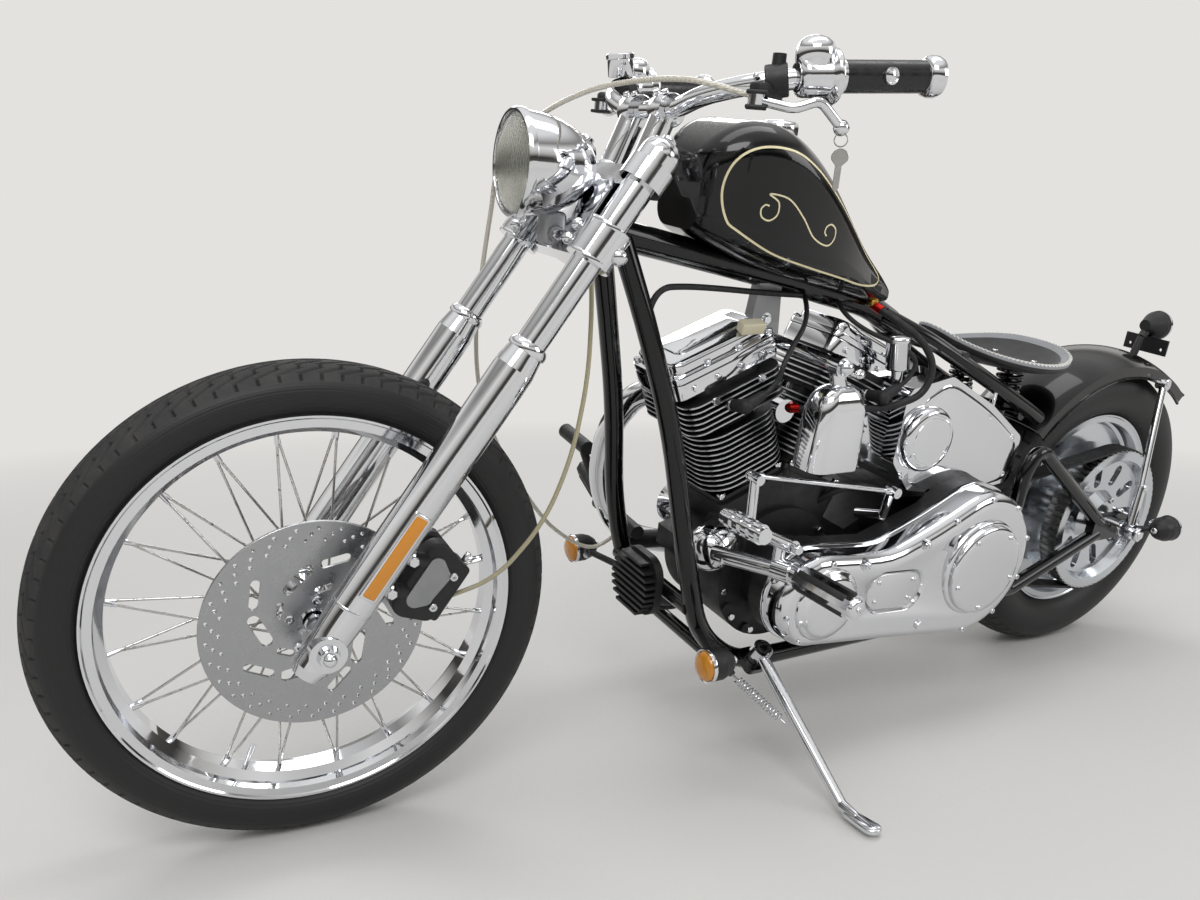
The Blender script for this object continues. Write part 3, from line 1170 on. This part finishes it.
def primary_cover():
    """The chrome cover: rolled edge, domed face, oval lid in its recess, bulge, clutch lid and screws."""
    bm = bmesh.new()
    skinned(bm, case_at([(0.0, 0.1500), (0.0, 0.1840), (0.0008, 0.1890), (0.0030, 0.1940), (0.0070, 0.1990),
                         (0.0120, 0.2025), (0.0180, 0.2045), (0.0250, 0.2052)]))
    lid = facing(ACROSS, (0.718, 0.2052, 0.318), side=(0.9976, 0, 0.0698))
    hole = bmesh.new()
    slot = stadium(0.030, 0.040, 20)
    skinned(hole, [[tuple(lid @ Vector((x, y, rise))) for x, y in inset(slot, shrink)]
                   for rise, shrink in ((-0.008, 0.006), (-0.0065, 0.0045), (-0.001, 0.0015),
                                        (0.001, -0.001), (0.010, -0.004))])
    bm = drilled(bm, hole)
    settle(bm, "primary_cover", "frame", CHROME, sharp=50, node="outer_primary")
    bm = bmesh.new()
    skinned(bm, case_at([(-0.0035, 0.1502), (-0.0044, 0.1514), (-0.0044, 0.1570), (-0.0035, 0.1582),
                         (0.004, 0.1582)]), start=False, end=False)
    settle(bm, "primary_flange", "frame", CHROME, sharp=50)

    bm = bmesh.new()
    clutch = facing(ACROSS, (0.514, 0.205, 0.334), side=(1, 0, 0))
    lathe(bm, [(90.5, -2), (90, 4), (87, 6.5), (84.2, 7.2), (83.8, 13.5), (81.5, 17), (76, 18.6), (70, 19.2),
               (0, 20)], clutch, steps=96)
    bulge = facing(ACROSS, (0.874, 0.2045, 0.320), side=(1, 0, 0))
    lathe(bm, [(64, -2), (63.2, 3.5), (60, 7), (56, 7.8), (53.5, 11), (49, 14.2), (40, 16.2), (0, 17)],
          bulge, steps=72)
    settle(bm, "clutch_lid", "frame", CHROME, sharp=50)

    bm = bmesh.new()
    plate(bm, stadium(0.030, 0.0325, 16), 0.0045, lid @ Matrix.Translation((0, 0, -0.0075)), 0.0012, 2)
    settle(bm, "inspection_lid", "frame", SPUN_LID, sharp=50)
    bm = bmesh.new()
    for x, y in ((0.042, 0.018), (0.042, -0.018), (-0.042, 0.018), (-0.042, -0.018)):
        socket_screw(bm, lid @ Vector((x, y, -0.0032)), ACROSS, 0.0042, 0.0030)
    for k in range(5):
        socket_screw(bm, around(clutch, 0.0730, radians(72 * k + 18), 0.0186), ACROSS, 0.0046, 0.0030)
    for x, z in inset(CASE, 0.0105)[::8]:
        socket_screw(bm, (x, 0.1985, z), ACROSS, 0.0052, 0.0060)
    hexagon(bm, (0.640, 0.2040, 0.240), ACROSS, 0.018, 0.006)
    for x, z in ((0.800, 0.378), (0.665, 0.396)):
        rod(bm, (x, 0.196, z), (x, 0.2075, z), 0.0105, 0.0090)
        socket_screw(bm, (x, 0.2075, z), ACROSS, 0.0062, 0.0040)
    settle(bm, "primary_screws", "frame", CHROME)


# Fuel tank

PINSTRIPE = ((1.070, 0.888), (1.090, 0.905), (1.098, 0.945), (1.086, 0.984), (1.052, 1.004), (1.000, 1.003),
             (0.955, 0.983), (0.905, 0.946), (0.850, 0.901), (0.800, 0.860), (0.760, 0.835), (0.740, 0.819),
             (0.752, 0.809), (0.800, 0.812), (0.860, 0.825), (0.940, 0.842), (1.010, 0.860))
SCROLL = [
    # a curl at the front, a long sweep and a curl at the rear
    (1.033 + (0.022 - 0.016 * k / 7) * cos(radians(90 + 54 * k)),
     0.921 + (0.022 - 0.016 * k / 7) * sin(radians(90 + 54 * k))) for k in range(7, -1, -1)
] + [(1.000, 0.938), (0.970, 0.914), (0.944, 0.886)] + [
    (0.915 + (0.019 - 0.013 * k / 6) * cos(radians(-90 - 54 * k)),
     0.894 + (0.019 - 0.013 * k / 6) * sin(radians(-90 - 54 * k))) for k in range(7)
]


def stripe(bm, route, width, closed, side):
    """A painted line laid on the tank's side along a route of (x, z) points."""
    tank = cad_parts["fuel_tank"]
    aim = row_direction((0, -side, 0))
    laid = []
    for x, z in smooth_run(route, closed):
        hit, spot, normal, _ = tank.ray_cast(to_row((x, side * 0.35, z)), aim)
        if hit:
            laid.append((spot, normal if normal.dot(aim) < 0 else -normal))
    pairs = []
    for k, (spot, normal) in enumerate(laid):
        before = laid[k - 1] if closed or k else laid[k]
        after = laid[(k + 1) % len(laid)] if closed or k < len(laid) - 1 else laid[k]
        aside = (after[0] - before[0]).normalized().cross(normal) * width
        pairs.append([bm.verts.new(spot + normal * 0.0004 + aside * way) for way in (1, -1)])
    for one, two in zip(pairs, pairs[1:] + pairs[:1] if closed else pairs[1:]):
        bm.faces.new((one[0], two[0], two[1], one[1]))


def pinstripes():
    """A cream line round each side of the tank with a small flourish, and a chrome cap."""
    for hand, side in (("left", 1), ("right", -1)):
        bm = bmesh.new()
        for route, width, closed in ((PINSTRIPE, 0.0017, True), (SCROLL, 0.0012, False)):
            stripe(bm, route, width, closed, side)
        settle(bm, f"{hand}_pinstripe", "frame", CREAM, upright=False)
    bm = bmesh.new()
    lathe(bm, [(24.5, 0), (27.5, 2), (27.5, 12), (26.2, 17.5), (22.5, 20.5), (0, 22.5)],
          facing((0.02, 0, 1), (0.9495, 0, 1.0225)), steps=48)
    settle(bm, "fuel_cap", "frame", CHROME, sharp=50)


# Oil tank

OIL_SIDE = [(p.x, p.y) for p in evenly(smooth_run(
    ((0.646, 0.490), (0.644, 0.560), (0.642, 0.616), (0.616, 0.640), (0.584, 0.650), (0.530, 0.628),
     (0.468, 0.596), (0.415, 0.562), (0.376, 0.530), (0.376, 0.495), (0.382, 0.462), (0.430, 0.451),
     (0.500, 0.446), (0.580, 0.456), (0.628, 0.468)), True), 60)]


def oil_tank_trim():
    """The round side cover with its beads, strap bolts and the chrome can beside the fuel tap."""
    bm = bmesh.new()
    place = facing(ACROSS, (0.628, 0.116, 0.556), side=(1, 0, 0))
    middle = Vector((sum(x for x, _ in OIL_SIDE), sum(z for _, z in OIL_SIDE))) / len(OIL_SIDE)
    for side in (-1, 1):
        rings = []
        for share, rise in ((1.0, 0.1160), (1.0, 0.1184), (0.985, 0.1196), (0.92, 0.1208), (0.80, 0.1220),
                            (0.60, 0.1232), (0.35, 0.1240), (0.12, 0.1243)):
            rings.append([(middle.x + (x - middle.x) * share, side * rise, middle.y + (z - middle.y) * share)
                          for x, z in OIL_SIDE])
        skinned(bm, rings)
    lathe(bm, [(57.5, 0), (59, 3), (58.5, 10), (56, 16.5), (52, 20.5), (46.5, 21.2), (45, 19), (42.5, 18.6),
               (41, 20.8), (0, 21.5)], place, steps=72)
    can = facing((0.12, -0.10, 1), (0.706, 0.100, 0.676))
    lathe(bm, [(0, 0), (17, 0), (19.5, 3), (19.5, 46), (20.5, 47), (20.5, 53), (18, 56), (0, 57)], can,
          steps=40)
    rod(bm, can @ Vector((0, 0, -0.020)), can @ Vector((0, 0, 0.002)), 0.0085, 0.0105)
    settle(bm, "oil_tank_cover", "frame", CHROME, sharp=50)
    bm = bmesh.new()
    for k in range(3):
        socket_screw(bm, around(place, 0.049, radians(120 * k + 30), 0.0205), ACROSS, 0.0034, 0.0025)
    for x, z in ((0.395, 0.470), (0.390, 0.540), (0.470, 0.585), (0.665, 0.490), (0.560, 0.470)):
        socket_screw(bm, (x, 0.1175, z), ACROSS, 0.0062, 0.0045)
    settle(bm, "oil_tank_screws", "frame", CHROME)
    bm = bmesh.new()
    rod(bm, (0.722, 0.030, 0.800), (0.722, 0.034, 0.772), 0.0085)
    hexagon(bm, (0.722, 0.0335, 0.780), (0, 0.1, -1), 0.021, 0.010)
    settle(bm, "fuel_tap", "frame", BRASS)
    bm = bmesh.new()
    rod(bm, (0.7215, 0.036, 0.7715), (0.7170, 0.052, 0.7650), 0.0084, 0.0078)
    rod(bm, (0.8600, 0.0470, 0.6015), (0.8720, 0.0403, 0.6000), 0.0080, 0.0084)
    settle(bm, "hose_ends", "frame", ANODISED)


# Seat

SEAT_OUTLINE = ((0.208, 0.0), (0.215, 0.056), (0.242, 0.098), (0.282, 0.122), (0.320, 0.127), (0.366, 0.115),
                (0.430, 0.082), (0.500, 0.043), (0.534, 0.026), (0.547, 0.0))
SEAT_MIDDLE = 0.330
RIM_LOW = 0.6765
RIM_CURL = 1.22


def rim_height(x):
    """The height of the saddle's rim: lowest beside the rider's thighs, and curled up at nose and back."""
    return RIM_LOW + RIM_CURL * (x - SEAT_MIDDLE) ** 2


def saddle():
    """A dished hide saddle: dark bowl, broad skived grey edge and white whip stitching."""
    route = smooth_run(list(SEAT_OUTLINE) + [(x, -y) for x, y in SEAT_OUTLINE[-2:0:-1]], True, 12)
    loop = evenly(route, 110)

    def ring(share, rise):
        spread = [(SEAT_MIDDLE + (p.x - SEAT_MIDDLE) * share, p.y * share) for p in loop]
        return [Vector((x, y, rim_height(x) + rise)) for x, y in spread]

    under = ((0.12, -0.0270), (0.45, -0.0262), (0.80, -0.0215), (0.93, -0.0175), (0.975, -0.0145),
             (0.996, -0.0105), (1.0, -0.0065))
    rim = ((1.0, -0.0065), (0.998, -0.0022), (0.988, 0.0004), (0.972, 0.0013), (0.945, 0.0010),
           (0.905, -0.0010), (0.862, -0.0045))
    top = ((0.862, -0.0045), (0.80, -0.0090), (0.70, -0.0130), (0.55, -0.0162), (0.35, -0.0180),
           (0.12, -0.0186))
    bm = bmesh.new()
    skinned(bm, [ring(*level) for level in under], end=False)
    skinned(bm, [ring(*level) for level in top], start=False)
    hidden = set(bm.faces)
    skinned(bm, [ring(*level) for level in rim], start=False, end=False)
    for face in set(bm.faces) - hidden:
        face.material_index = 1
    settle(bm, "saddle_hide", "frame", [LEATHER, EDGE_LEATHER], sharp=70, node="seat")
    bm = bmesh.new()
    outer, inner = ring(0.996, -0.0010), ring(0.958, 0.0014)
    for k in range(len(loop)):
        rod(bm, outer[k], inner[(k + 1) % len(loop)], 0.0013, segments=8)
    settle(bm, "saddle_lacing", "frame", WHITE_CORD)
    bm = bmesh.new()
    for x, y in ((0.425, 0.0), (0.275, 0.046), (0.275, -0.046)):
        head = Matrix.Translation((x, y, rim_height(x) - 0.0178))
        lathe(bm, [(0, 3), (4.5, 2.5), (6.2, 0)], head, steps=20)
    settle(bm, "saddle_rivets", "frame", CHROME)


def seat_mount():
    """Two coil springs, the nose post and its cross pin."""
    bm = bmesh.new()
    for side in (-1, 1):
        foot = Vector((0.350, side * 0.054, 0.584))
        top = Vector((0.350, side * 0.054, 0.6545))
        coil(bm, foot + UP * 0.006, top - UP * 0.005, 0.021, 0.0042, 4.5, 24)
        rod(bm, foot, top, 0.006)
        for spot, rise in ((foot, 0.008), (top - UP * 0.006, 0.005)):
            rod(bm, spot, spot + Vector((0, 0, rise)), 0.026, segments=32)
    rod(bm, (0.532, 0, 0.688), (0.532, 0, 0.713), 0.012)
    rod(bm, (0.530, -0.090, 0.690), (0.530, 0.090, 0.690), 0.009)
    settle(bm, "seat_coils", "frame", LACQUER, node="seat_springs")


# Fender, rear wheel and lamps

LIP_RADIUS = 0.308
FENDER_ENDS = (-38, 52)
PULLEY_TEETH = 66


def rear_end():
    """Rolled fender lips, strut bolts, axle nuts and adjusters, and the pulley's teeth and bolts."""
    bm = bmesh.new()
    for side in (-1, 1):
        angles = [radians(angle) for angle in range(FENDER_ENDS[0], FENDER_ENDS[1] + 1, 3)]
        points = [REAR_AXLE + Vector((LIP_RADIUS * sin(angle), side * 0.0855, LIP_RADIUS * cos(angle)))
                  for angle in angles]
        swept(bm, points, 0.0032, straight=True, bevel=2)
    for end in FENDER_ENDS:
        out = Vector((sin(radians(end)), 0, cos(radians(end))))
        points = [REAR_AXLE + out * (0.352 - 0.022 * (y / 0.086) ** 2) + ACROSS * y
                  for y in [k * 0.0086 for k in range(-10, 11)]]
        swept(bm, points, 0.0030, straight=True, bevel=2)
    settle(bm, "fender_lip", "frame", LACQUER)

    bm = bmesh.new()
    for side in (-1, 1):
        for spot in ((-0.024, 0.156, REAR_RADIUS + 0.090), (-0.092, 0.102, 0.622)):
            hexagon(bm, on_side(spot, side), (0, side, 0), 0.016, 0.008)
        hexagon(bm, (0.002, side * 0.182, REAR_RADIUS), (0, side, 0), 0.030, 0.010)
        hexagon(bm, (-0.044, side * 0.150, REAR_RADIUS), (-1, 0, 0), 0.014, 0.010)
    settle(bm, "rear_bolts", "frame", CHROME)
    bm = bmesh.new()
    for side in (-1, 1):
        rod(bm, (-0.052, side * 0.150, REAR_RADIUS), (0.020, side * 0.150, REAR_RADIUS), 0.0042)
    settle(bm, "axle_adjusters", "frame", STEEL)

    bm = bmesh.new()
    for k in range(PULLEY_TEETH):
        angle = 2 * pi * k / PULLEY_TEETH
        out = Vector((cos(angle), 0, sin(angle)))
        place = facing(out, REAR_AXLE + out * 0.1555 + ACROSS * 0.094, side=ACROSS)
        bmesh.ops.create_cube(bm, size=1, matrix=place @ Matrix.Diagonal((0.036, 0.0062, 0.0042, 1)))
    settle(bm, "pulley_teeth", "rear_wheel", STEEL)
    bm = bmesh.new()
    for k in range(5):
        angle = radians(72 * k + 15)
        spot = REAR_AXLE + Vector((0.048 * cos(angle), 0.1115, 0.048 * sin(angle)))
        socket_screw(bm, spot, ACROSS, 0.0075, 0.006)
    settle(bm, "pulley_bolts", "rear_wheel", CHROME)


def lamps():
    """Amber bullet lenses with bright bezels and tail nuts, and a red tail lens."""
    lens, trim = bmesh.new(), bmesh.new()
    for x, y, z, ahead in ((1.105, 0.215, 0.262, 1), (-0.052, 0.214, 0.343, -1)):
        for side in (-1, 1):
            place = facing((ahead, 0, 0), (x + ahead * 0.004, side * y, z))
            lathe(lens, [(22.5, -1), (23.2, 1), (22.2, 4.5), (19, 7.8), (12, 10), (0, 10.8)], place,
                  steps=36)
            lathe(trim, [(22.8, -2), (26.2, -3), (26.6, 0), (25.5, 2.8), (23.5, 2.2)], place, steps=36,
                  closed=True)
            hexagon(trim, (x - ahead * 0.044, side * y, z), (-ahead, 0, 0), 0.013, 0.007)
            stem = x - ahead * 0.014
            rod(trim, (stem, side * (y - 0.028), z), (stem, side * (y - 0.023), z), 0.010)
    settle(lens, "signal_lenses", "frame", AMBER, sharp=60, node="lamp_lenses")
    settle(trim, "signal_bezels", "frame", CHROME, sharp=45)
    bm = bmesh.new()
    place = facing((-1, 0, 0), (-0.184, 0, 0.719))
    lathe(bm, [(27.5, 0), (28, 2), (25.5, 7.5), (18, 11.5), (8, 13), (0, 13.2)], place, steps=40)
    settle(bm, "tail_lens", "frame", RED_LENS, sharp=60)
    bm = bmesh.new()
    lathe(bm, [(27.2, -3), (31.2, -4), (31.6, 0), (30.5, 3), (28.2, 2.5)], place, steps=40, closed=True)
    settle(bm, "tail_bezel", "frame", CHROME, sharp=45)


# Foot controls, stand and wiring

def foot_trim():
    """Rubber strips on the pegs, end caps, the shift rod's ball ends and pivot bolts."""
    rubber, bright = bmesh.new(), bmesh.new()
    for root, tip in (((1.014, 0.256, 0.424), (1.004, 0.385, 0.426)),
                      ((1.030, -0.250, 0.340), (1.000, -0.385, 0.352))):
        root, tip = Vector(root), Vector(tip)
        along = (tip - root).normalized()
        for k in range(4):
            quarter = Matrix.Rotation(radians(45 + 90 * k), 4, "Z")
            place = facing(along, root.lerp(tip, 0.54), side=(0, 0, 1)) @ quarter
            rounded_box(rubber, (0.006, 0.010, 0.088), place @ Matrix.Translation((0.0170, 0, 0)), 0.0018, 2)
        lathe(bright, [(0, 1.5), (10, 1.2), (13.5, 0), (15, -2), (15, -4)], facing(along, tip), steps=28)
        socket_screw(bright, tip + along * 0.001, along, 0.0045, 0.003)
    settle(rubber, "peg_rubbers", "frame", RUBBER)
    for spot in ((1.026, 0.150, 0.536), (0.712, 0.150, 0.478)):
        globe(bright, spot, 0.0088, 20)
        hexagon(bright, Vector(spot) + ACROSS * 0.006, ACROSS, 0.012, 0.006)
        rod(bright, spot, Vector((0.869, 0.150, 0.507)).lerp(Vector(spot), 0.86), 0.0065)
    for spot, way in (((1.020, 0.266, 0.466), 1), ((1.052, 0.146, 0.400), 1), ((1.030, -0.273, 0.326), -1)):
        hexagon(bright, spot, (0, way, 0), 0.016, 0.007)
    settle(bright, "control_trim", "frame", CHROME, sharp=45)


def side_prop():
    """The stand's spoon foot and pivot bolt, and its coil spring."""
    bm = bmesh.new()
    pad = arc((0.0, 0.016), 0.014, 0, 180, 12) + arc((0.0, -0.026), 0.011, 180, 360, 12)
    place = facing((0, sin(LEAN), cos(LEAN)), (0.953, 0.432, 0.0905), side=(1, 0, 0))
    plate(bm, pad, 0.0065, place, 0.0022, 3)
    rod(bm, (0.951, 0.386, 0.0885), (0.953, 0.418, 0.0925), 0.0095, 0.0070)
    settle(bm, "stand_foot", "side_stand", CHROME, sharp=50)
    start, end = Vector((0.960, 0.250, 0.146)), Vector((0.985, 0.138, 0.173))
    run = (end - start).normalized()
    bm = bmesh.new()
    coil(bm, start + run * 0.010, end - run * 0.010, 0.0066, 0.0017, 15, 12)
    for spot, way in ((start, 1), (end, -1)):
        rod(bm, spot, spot + run * way * 0.012, 0.0022)
    spring = settle(bm, "stand_coil", None, CHROME)
    # The coil rides with the stand, and only its upper hook reaches to the frame
    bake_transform(spring)
    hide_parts("stand_spring")


LOOM = (
    # name, radius and route of each wire under the tank, at the headstock and behind the regulator
    ("head_loom", 0.0048, ((1.165, 0.030, 0.700), (1.190, 0.060, 0.745), (1.170, 0.052, 0.800),
                           (1.110, 0.040, 0.800), (1.040, 0.036, 0.796), (0.960, 0.034, 0.790),
                           (0.880, 0.030, 0.786))),
    ("regulator_lead", 0.0038, ((1.086, -0.030, 0.262), (1.070, -0.034, 0.236), (1.040, -0.020, 0.226),
                                (1.010, 0.010, 0.240), (0.985, 0.020, 0.270))),
    ("case_breather", 0.0060, ((0.800, 0.060, 0.430), (0.780, 0.092, 0.470), (0.720, 0.104, 0.474),
                               (0.660, 0.096, 0.446))),
)


def wiring():
    """Black leads under the tank and behind the regulator, a pale connector and a yellow tape band."""
    for name, radius, route in LOOM:
        bm = bmesh.new()
        swept(bm, route, radius)
        settle(bm, name, "frame", RUBBER)
    bm = bmesh.new()
    rounded_box(bm, (0.040, 0.020, 0.018), facing((0.1, 0.3, 1), (0.992, 0.056, 0.742), side=(1, 0, 0.35)),
                0.002)
    settle(bm, "wire_connector", "frame", CONNECTOR)
    bm = bmesh.new()
    rod(bm, (1.186, 0.0575, 0.738), (1.1885, 0.0590, 0.752), 0.0056)
    settle(bm, "wire_tape", "frame", YELLOW_TAPE)


# Floor, light and camera

BACKDROP = "e4e2df"
FLOOR_FADE = (1.7, 4.2)
CAMERA_PLACE, CAMERA_LENS = (1.9417, 1.3773, 0.7715), 29.11
CAMERA_TURN, CAMERA_DIP, CAMERA_ROLL = radians(-120.067 - 90), radians(90 - 9.274), radians(0.404)
PANELS = (
    # name, place, what it looks at, size and power
    ("key_panel", (1.9, 2.6, 3.2), (0.1, 0.2, 0.5), (2.4, 1.4), 70),
    ("fill_panel", (-2.6, 2.8, 1.9), (-0.3, 0.1, 0.5), (1.6, 1.6), 28),
    ("rim_panel", (-0.8, -2.8, 2.6), (0, 0, 0.6), (3.0, 0.8), 30),
    ("top_panel", (0.1, 0.3, 3.4), (0.1, 0.1, 0.5), (3.2, 1.0), 24),
)
# What polished metal mirrors, by height: grey floor, dark band, pale wall, dark line and white ceiling
ROOM = ((0.0, "a9a6a1"), (0.13, "55524e"), (0.24, "3a3836"), (0.36, "c9c7c3"), (0.5, "f1f0ee"),
        (0.62, "8f8d8a"), (0.8, "f6f6f5"), (1.0, "ffffff"))


def studio():
    """A pale floor and wall colour, one large soft key, a fill and a rim, and the photograph's camera."""
    scene = bpy.context.scene
    scene.view_settings.view_transform = "Standard"
    bm = bmesh.new()
    bmesh.ops.create_grid(bm, x_segments=1, y_segments=1, size=40)
    mesh = bpy.data.meshes.new("studio_floor")
    bm.to_mesh(mesh)
    bm.free()
    mesh.materials.append(PALE_FLOOR)
    place_in_scene("studio_floor", mesh)

    # The floor fades into the backdrop's colour with distance
    tree = PALE_FLOOR.node_tree
    reach = add_node(tree, "ShaderNodeVectorMath",
                     {0: add_node(tree, "ShaderNodeTexCoord").outputs["Object"]},
                     operation="LENGTH").outputs["Value"]
    near, clear = FLOOR_FADE
    share = add_node(tree, "ShaderNodeMapRange", {"Value": reach, "From Min": near, "From Max": clear})
    far = add_node(tree, "ShaderNodeEmission", {"Color": colour(BACKDROP), "Strength": 1.0})
    fade = add_node(tree, "ShaderNodeMixShader", {
        0: share.outputs["Result"], 1: tree.nodes["Principled BSDF"].outputs[0], 2: far.outputs[0]})
    tree.links.new(fade.outputs[0], tree.nodes["Material Output"].inputs["Surface"])

    # The world shows the backdrop to the camera, the room to mirrors and glass, and an even fill to the rest
    scene.world = bpy.data.worlds.new("Pale studio")
    scene.world.use_nodes = True
    tree = scene.world.node_tree
    tree.nodes.clear()
    path = add_node(tree, "ShaderNodeLightPath").outputs
    height = add_node(tree, "ShaderNodeSeparateXYZ", {
        "Vector": add_node(tree, "ShaderNodeTexCoord").outputs["Generated"]}).outputs["Z"]
    level = add_node(tree, "ShaderNodeMapRange", {"Value": height, "From Min": -0.15}).outputs["Result"]
    room = add_node(tree, "ShaderNodeValToRGB", {"Fac": level})
    stops = room.color_ramp.elements
    for place, code in ROOM:
        stops.new(place).color = colour(code)
    stops.remove(stops[-1])
    stops.remove(stops[0])
    seen = add_node(tree, "ShaderNodeMath", {0: path["Is Glossy Ray"], 1: path["Is Transmission Ray"]},
                    operation="MAXIMUM").outputs[0]
    backdrop, mirror, fill = (
        add_node(tree, "ShaderNodeBackground", {"Color": shade, "Strength": strength}).outputs[0]
        for shade, strength in (
            (colour(BACKDROP), 1.0), (room.outputs["Color"], 1.0), (colour("f4f4f6"), 0.5)))
    soft = add_node(tree, "ShaderNodeMixShader", {0: seen, 1: fill, 2: mirror}).outputs[0]
    whole = add_node(tree, "ShaderNodeMixShader", {0: path["Is Camera Ray"], 1: soft, 2: backdrop}).outputs[0]
    add_node(tree, "ShaderNodeOutputWorld", {"Surface": whole})

    for name, place, aim, size, power in PANELS:
        lamp = bpy.data.lights.new(name, "AREA")
        lamp.shape = "RECTANGLE"
        lamp.size, lamp.size_y = size
        lamp.energy = power
        carrier = place_in_scene(name, lamp)
        carrier.location = place
        carrier.rotation_euler = (Vector(aim) - Vector(place)).to_track_quat("-Z", "Y").to_euler()

    camera = bpy.data.cameras.new("photo_view")
    camera.lens = CAMERA_LENS
    camera.sensor_width = 36
    scene.camera = place_in_scene("photo_view", camera)
    x, y, z = CAMERA_PLACE
    scene.camera.matrix_world = (
        Matrix.Translation((x - ORIGIN.x, y - ORIGIN.y, z)) @ Matrix.Rotation(CAMERA_TURN, 4, "Z")
        @ Matrix.Rotation(CAMERA_DIP, 4, "X") @ Matrix.Rotation(CAMERA_ROLL, 4, "Z"))


rotor("front_rotor", "front_wheel", "front_disc", FRONT_AXLE, face=0.062, finish=FRONT_STEEL)
tyre("front_tyre_tread", "front_wheel", "front_tyre", FRONT_AXLE, FRONT_RADIUS, half=0.045, crown_half=0.039,
     crown_drop=0.019, bead=0.267, rim_half=0.033, pitches=80, finish=FRONT_RUBBER)
tyre("rear_tyre_tread", "rear_wheel", "rear_tyre", REAR_AXLE, REAR_RADIUS, half=0.0725, crown_half=0.060,
     crown_drop=0.023, bead=0.203, rim_half=0.044, pitches=56, finish=REAR_RUBBER)
for make in (laced_wheel, fork_trim, clutch_line, brake_caliper, headlamp, hand_controls, cylinder_pair,
             rocker_boxes, spark_plugs, crankcase_trim, horn_cover, primary_cover, pinstripes, oil_tank_trim,
             saddle, seat_mount):
    make()
rotor("rear_rotor", "rear_wheel", "rear_disc", REAR_AXLE, face=-0.092, finish=REAR_STEEL)
for make in (rear_end, lamps, foot_trim, side_prop, wiring, studio):
    make()
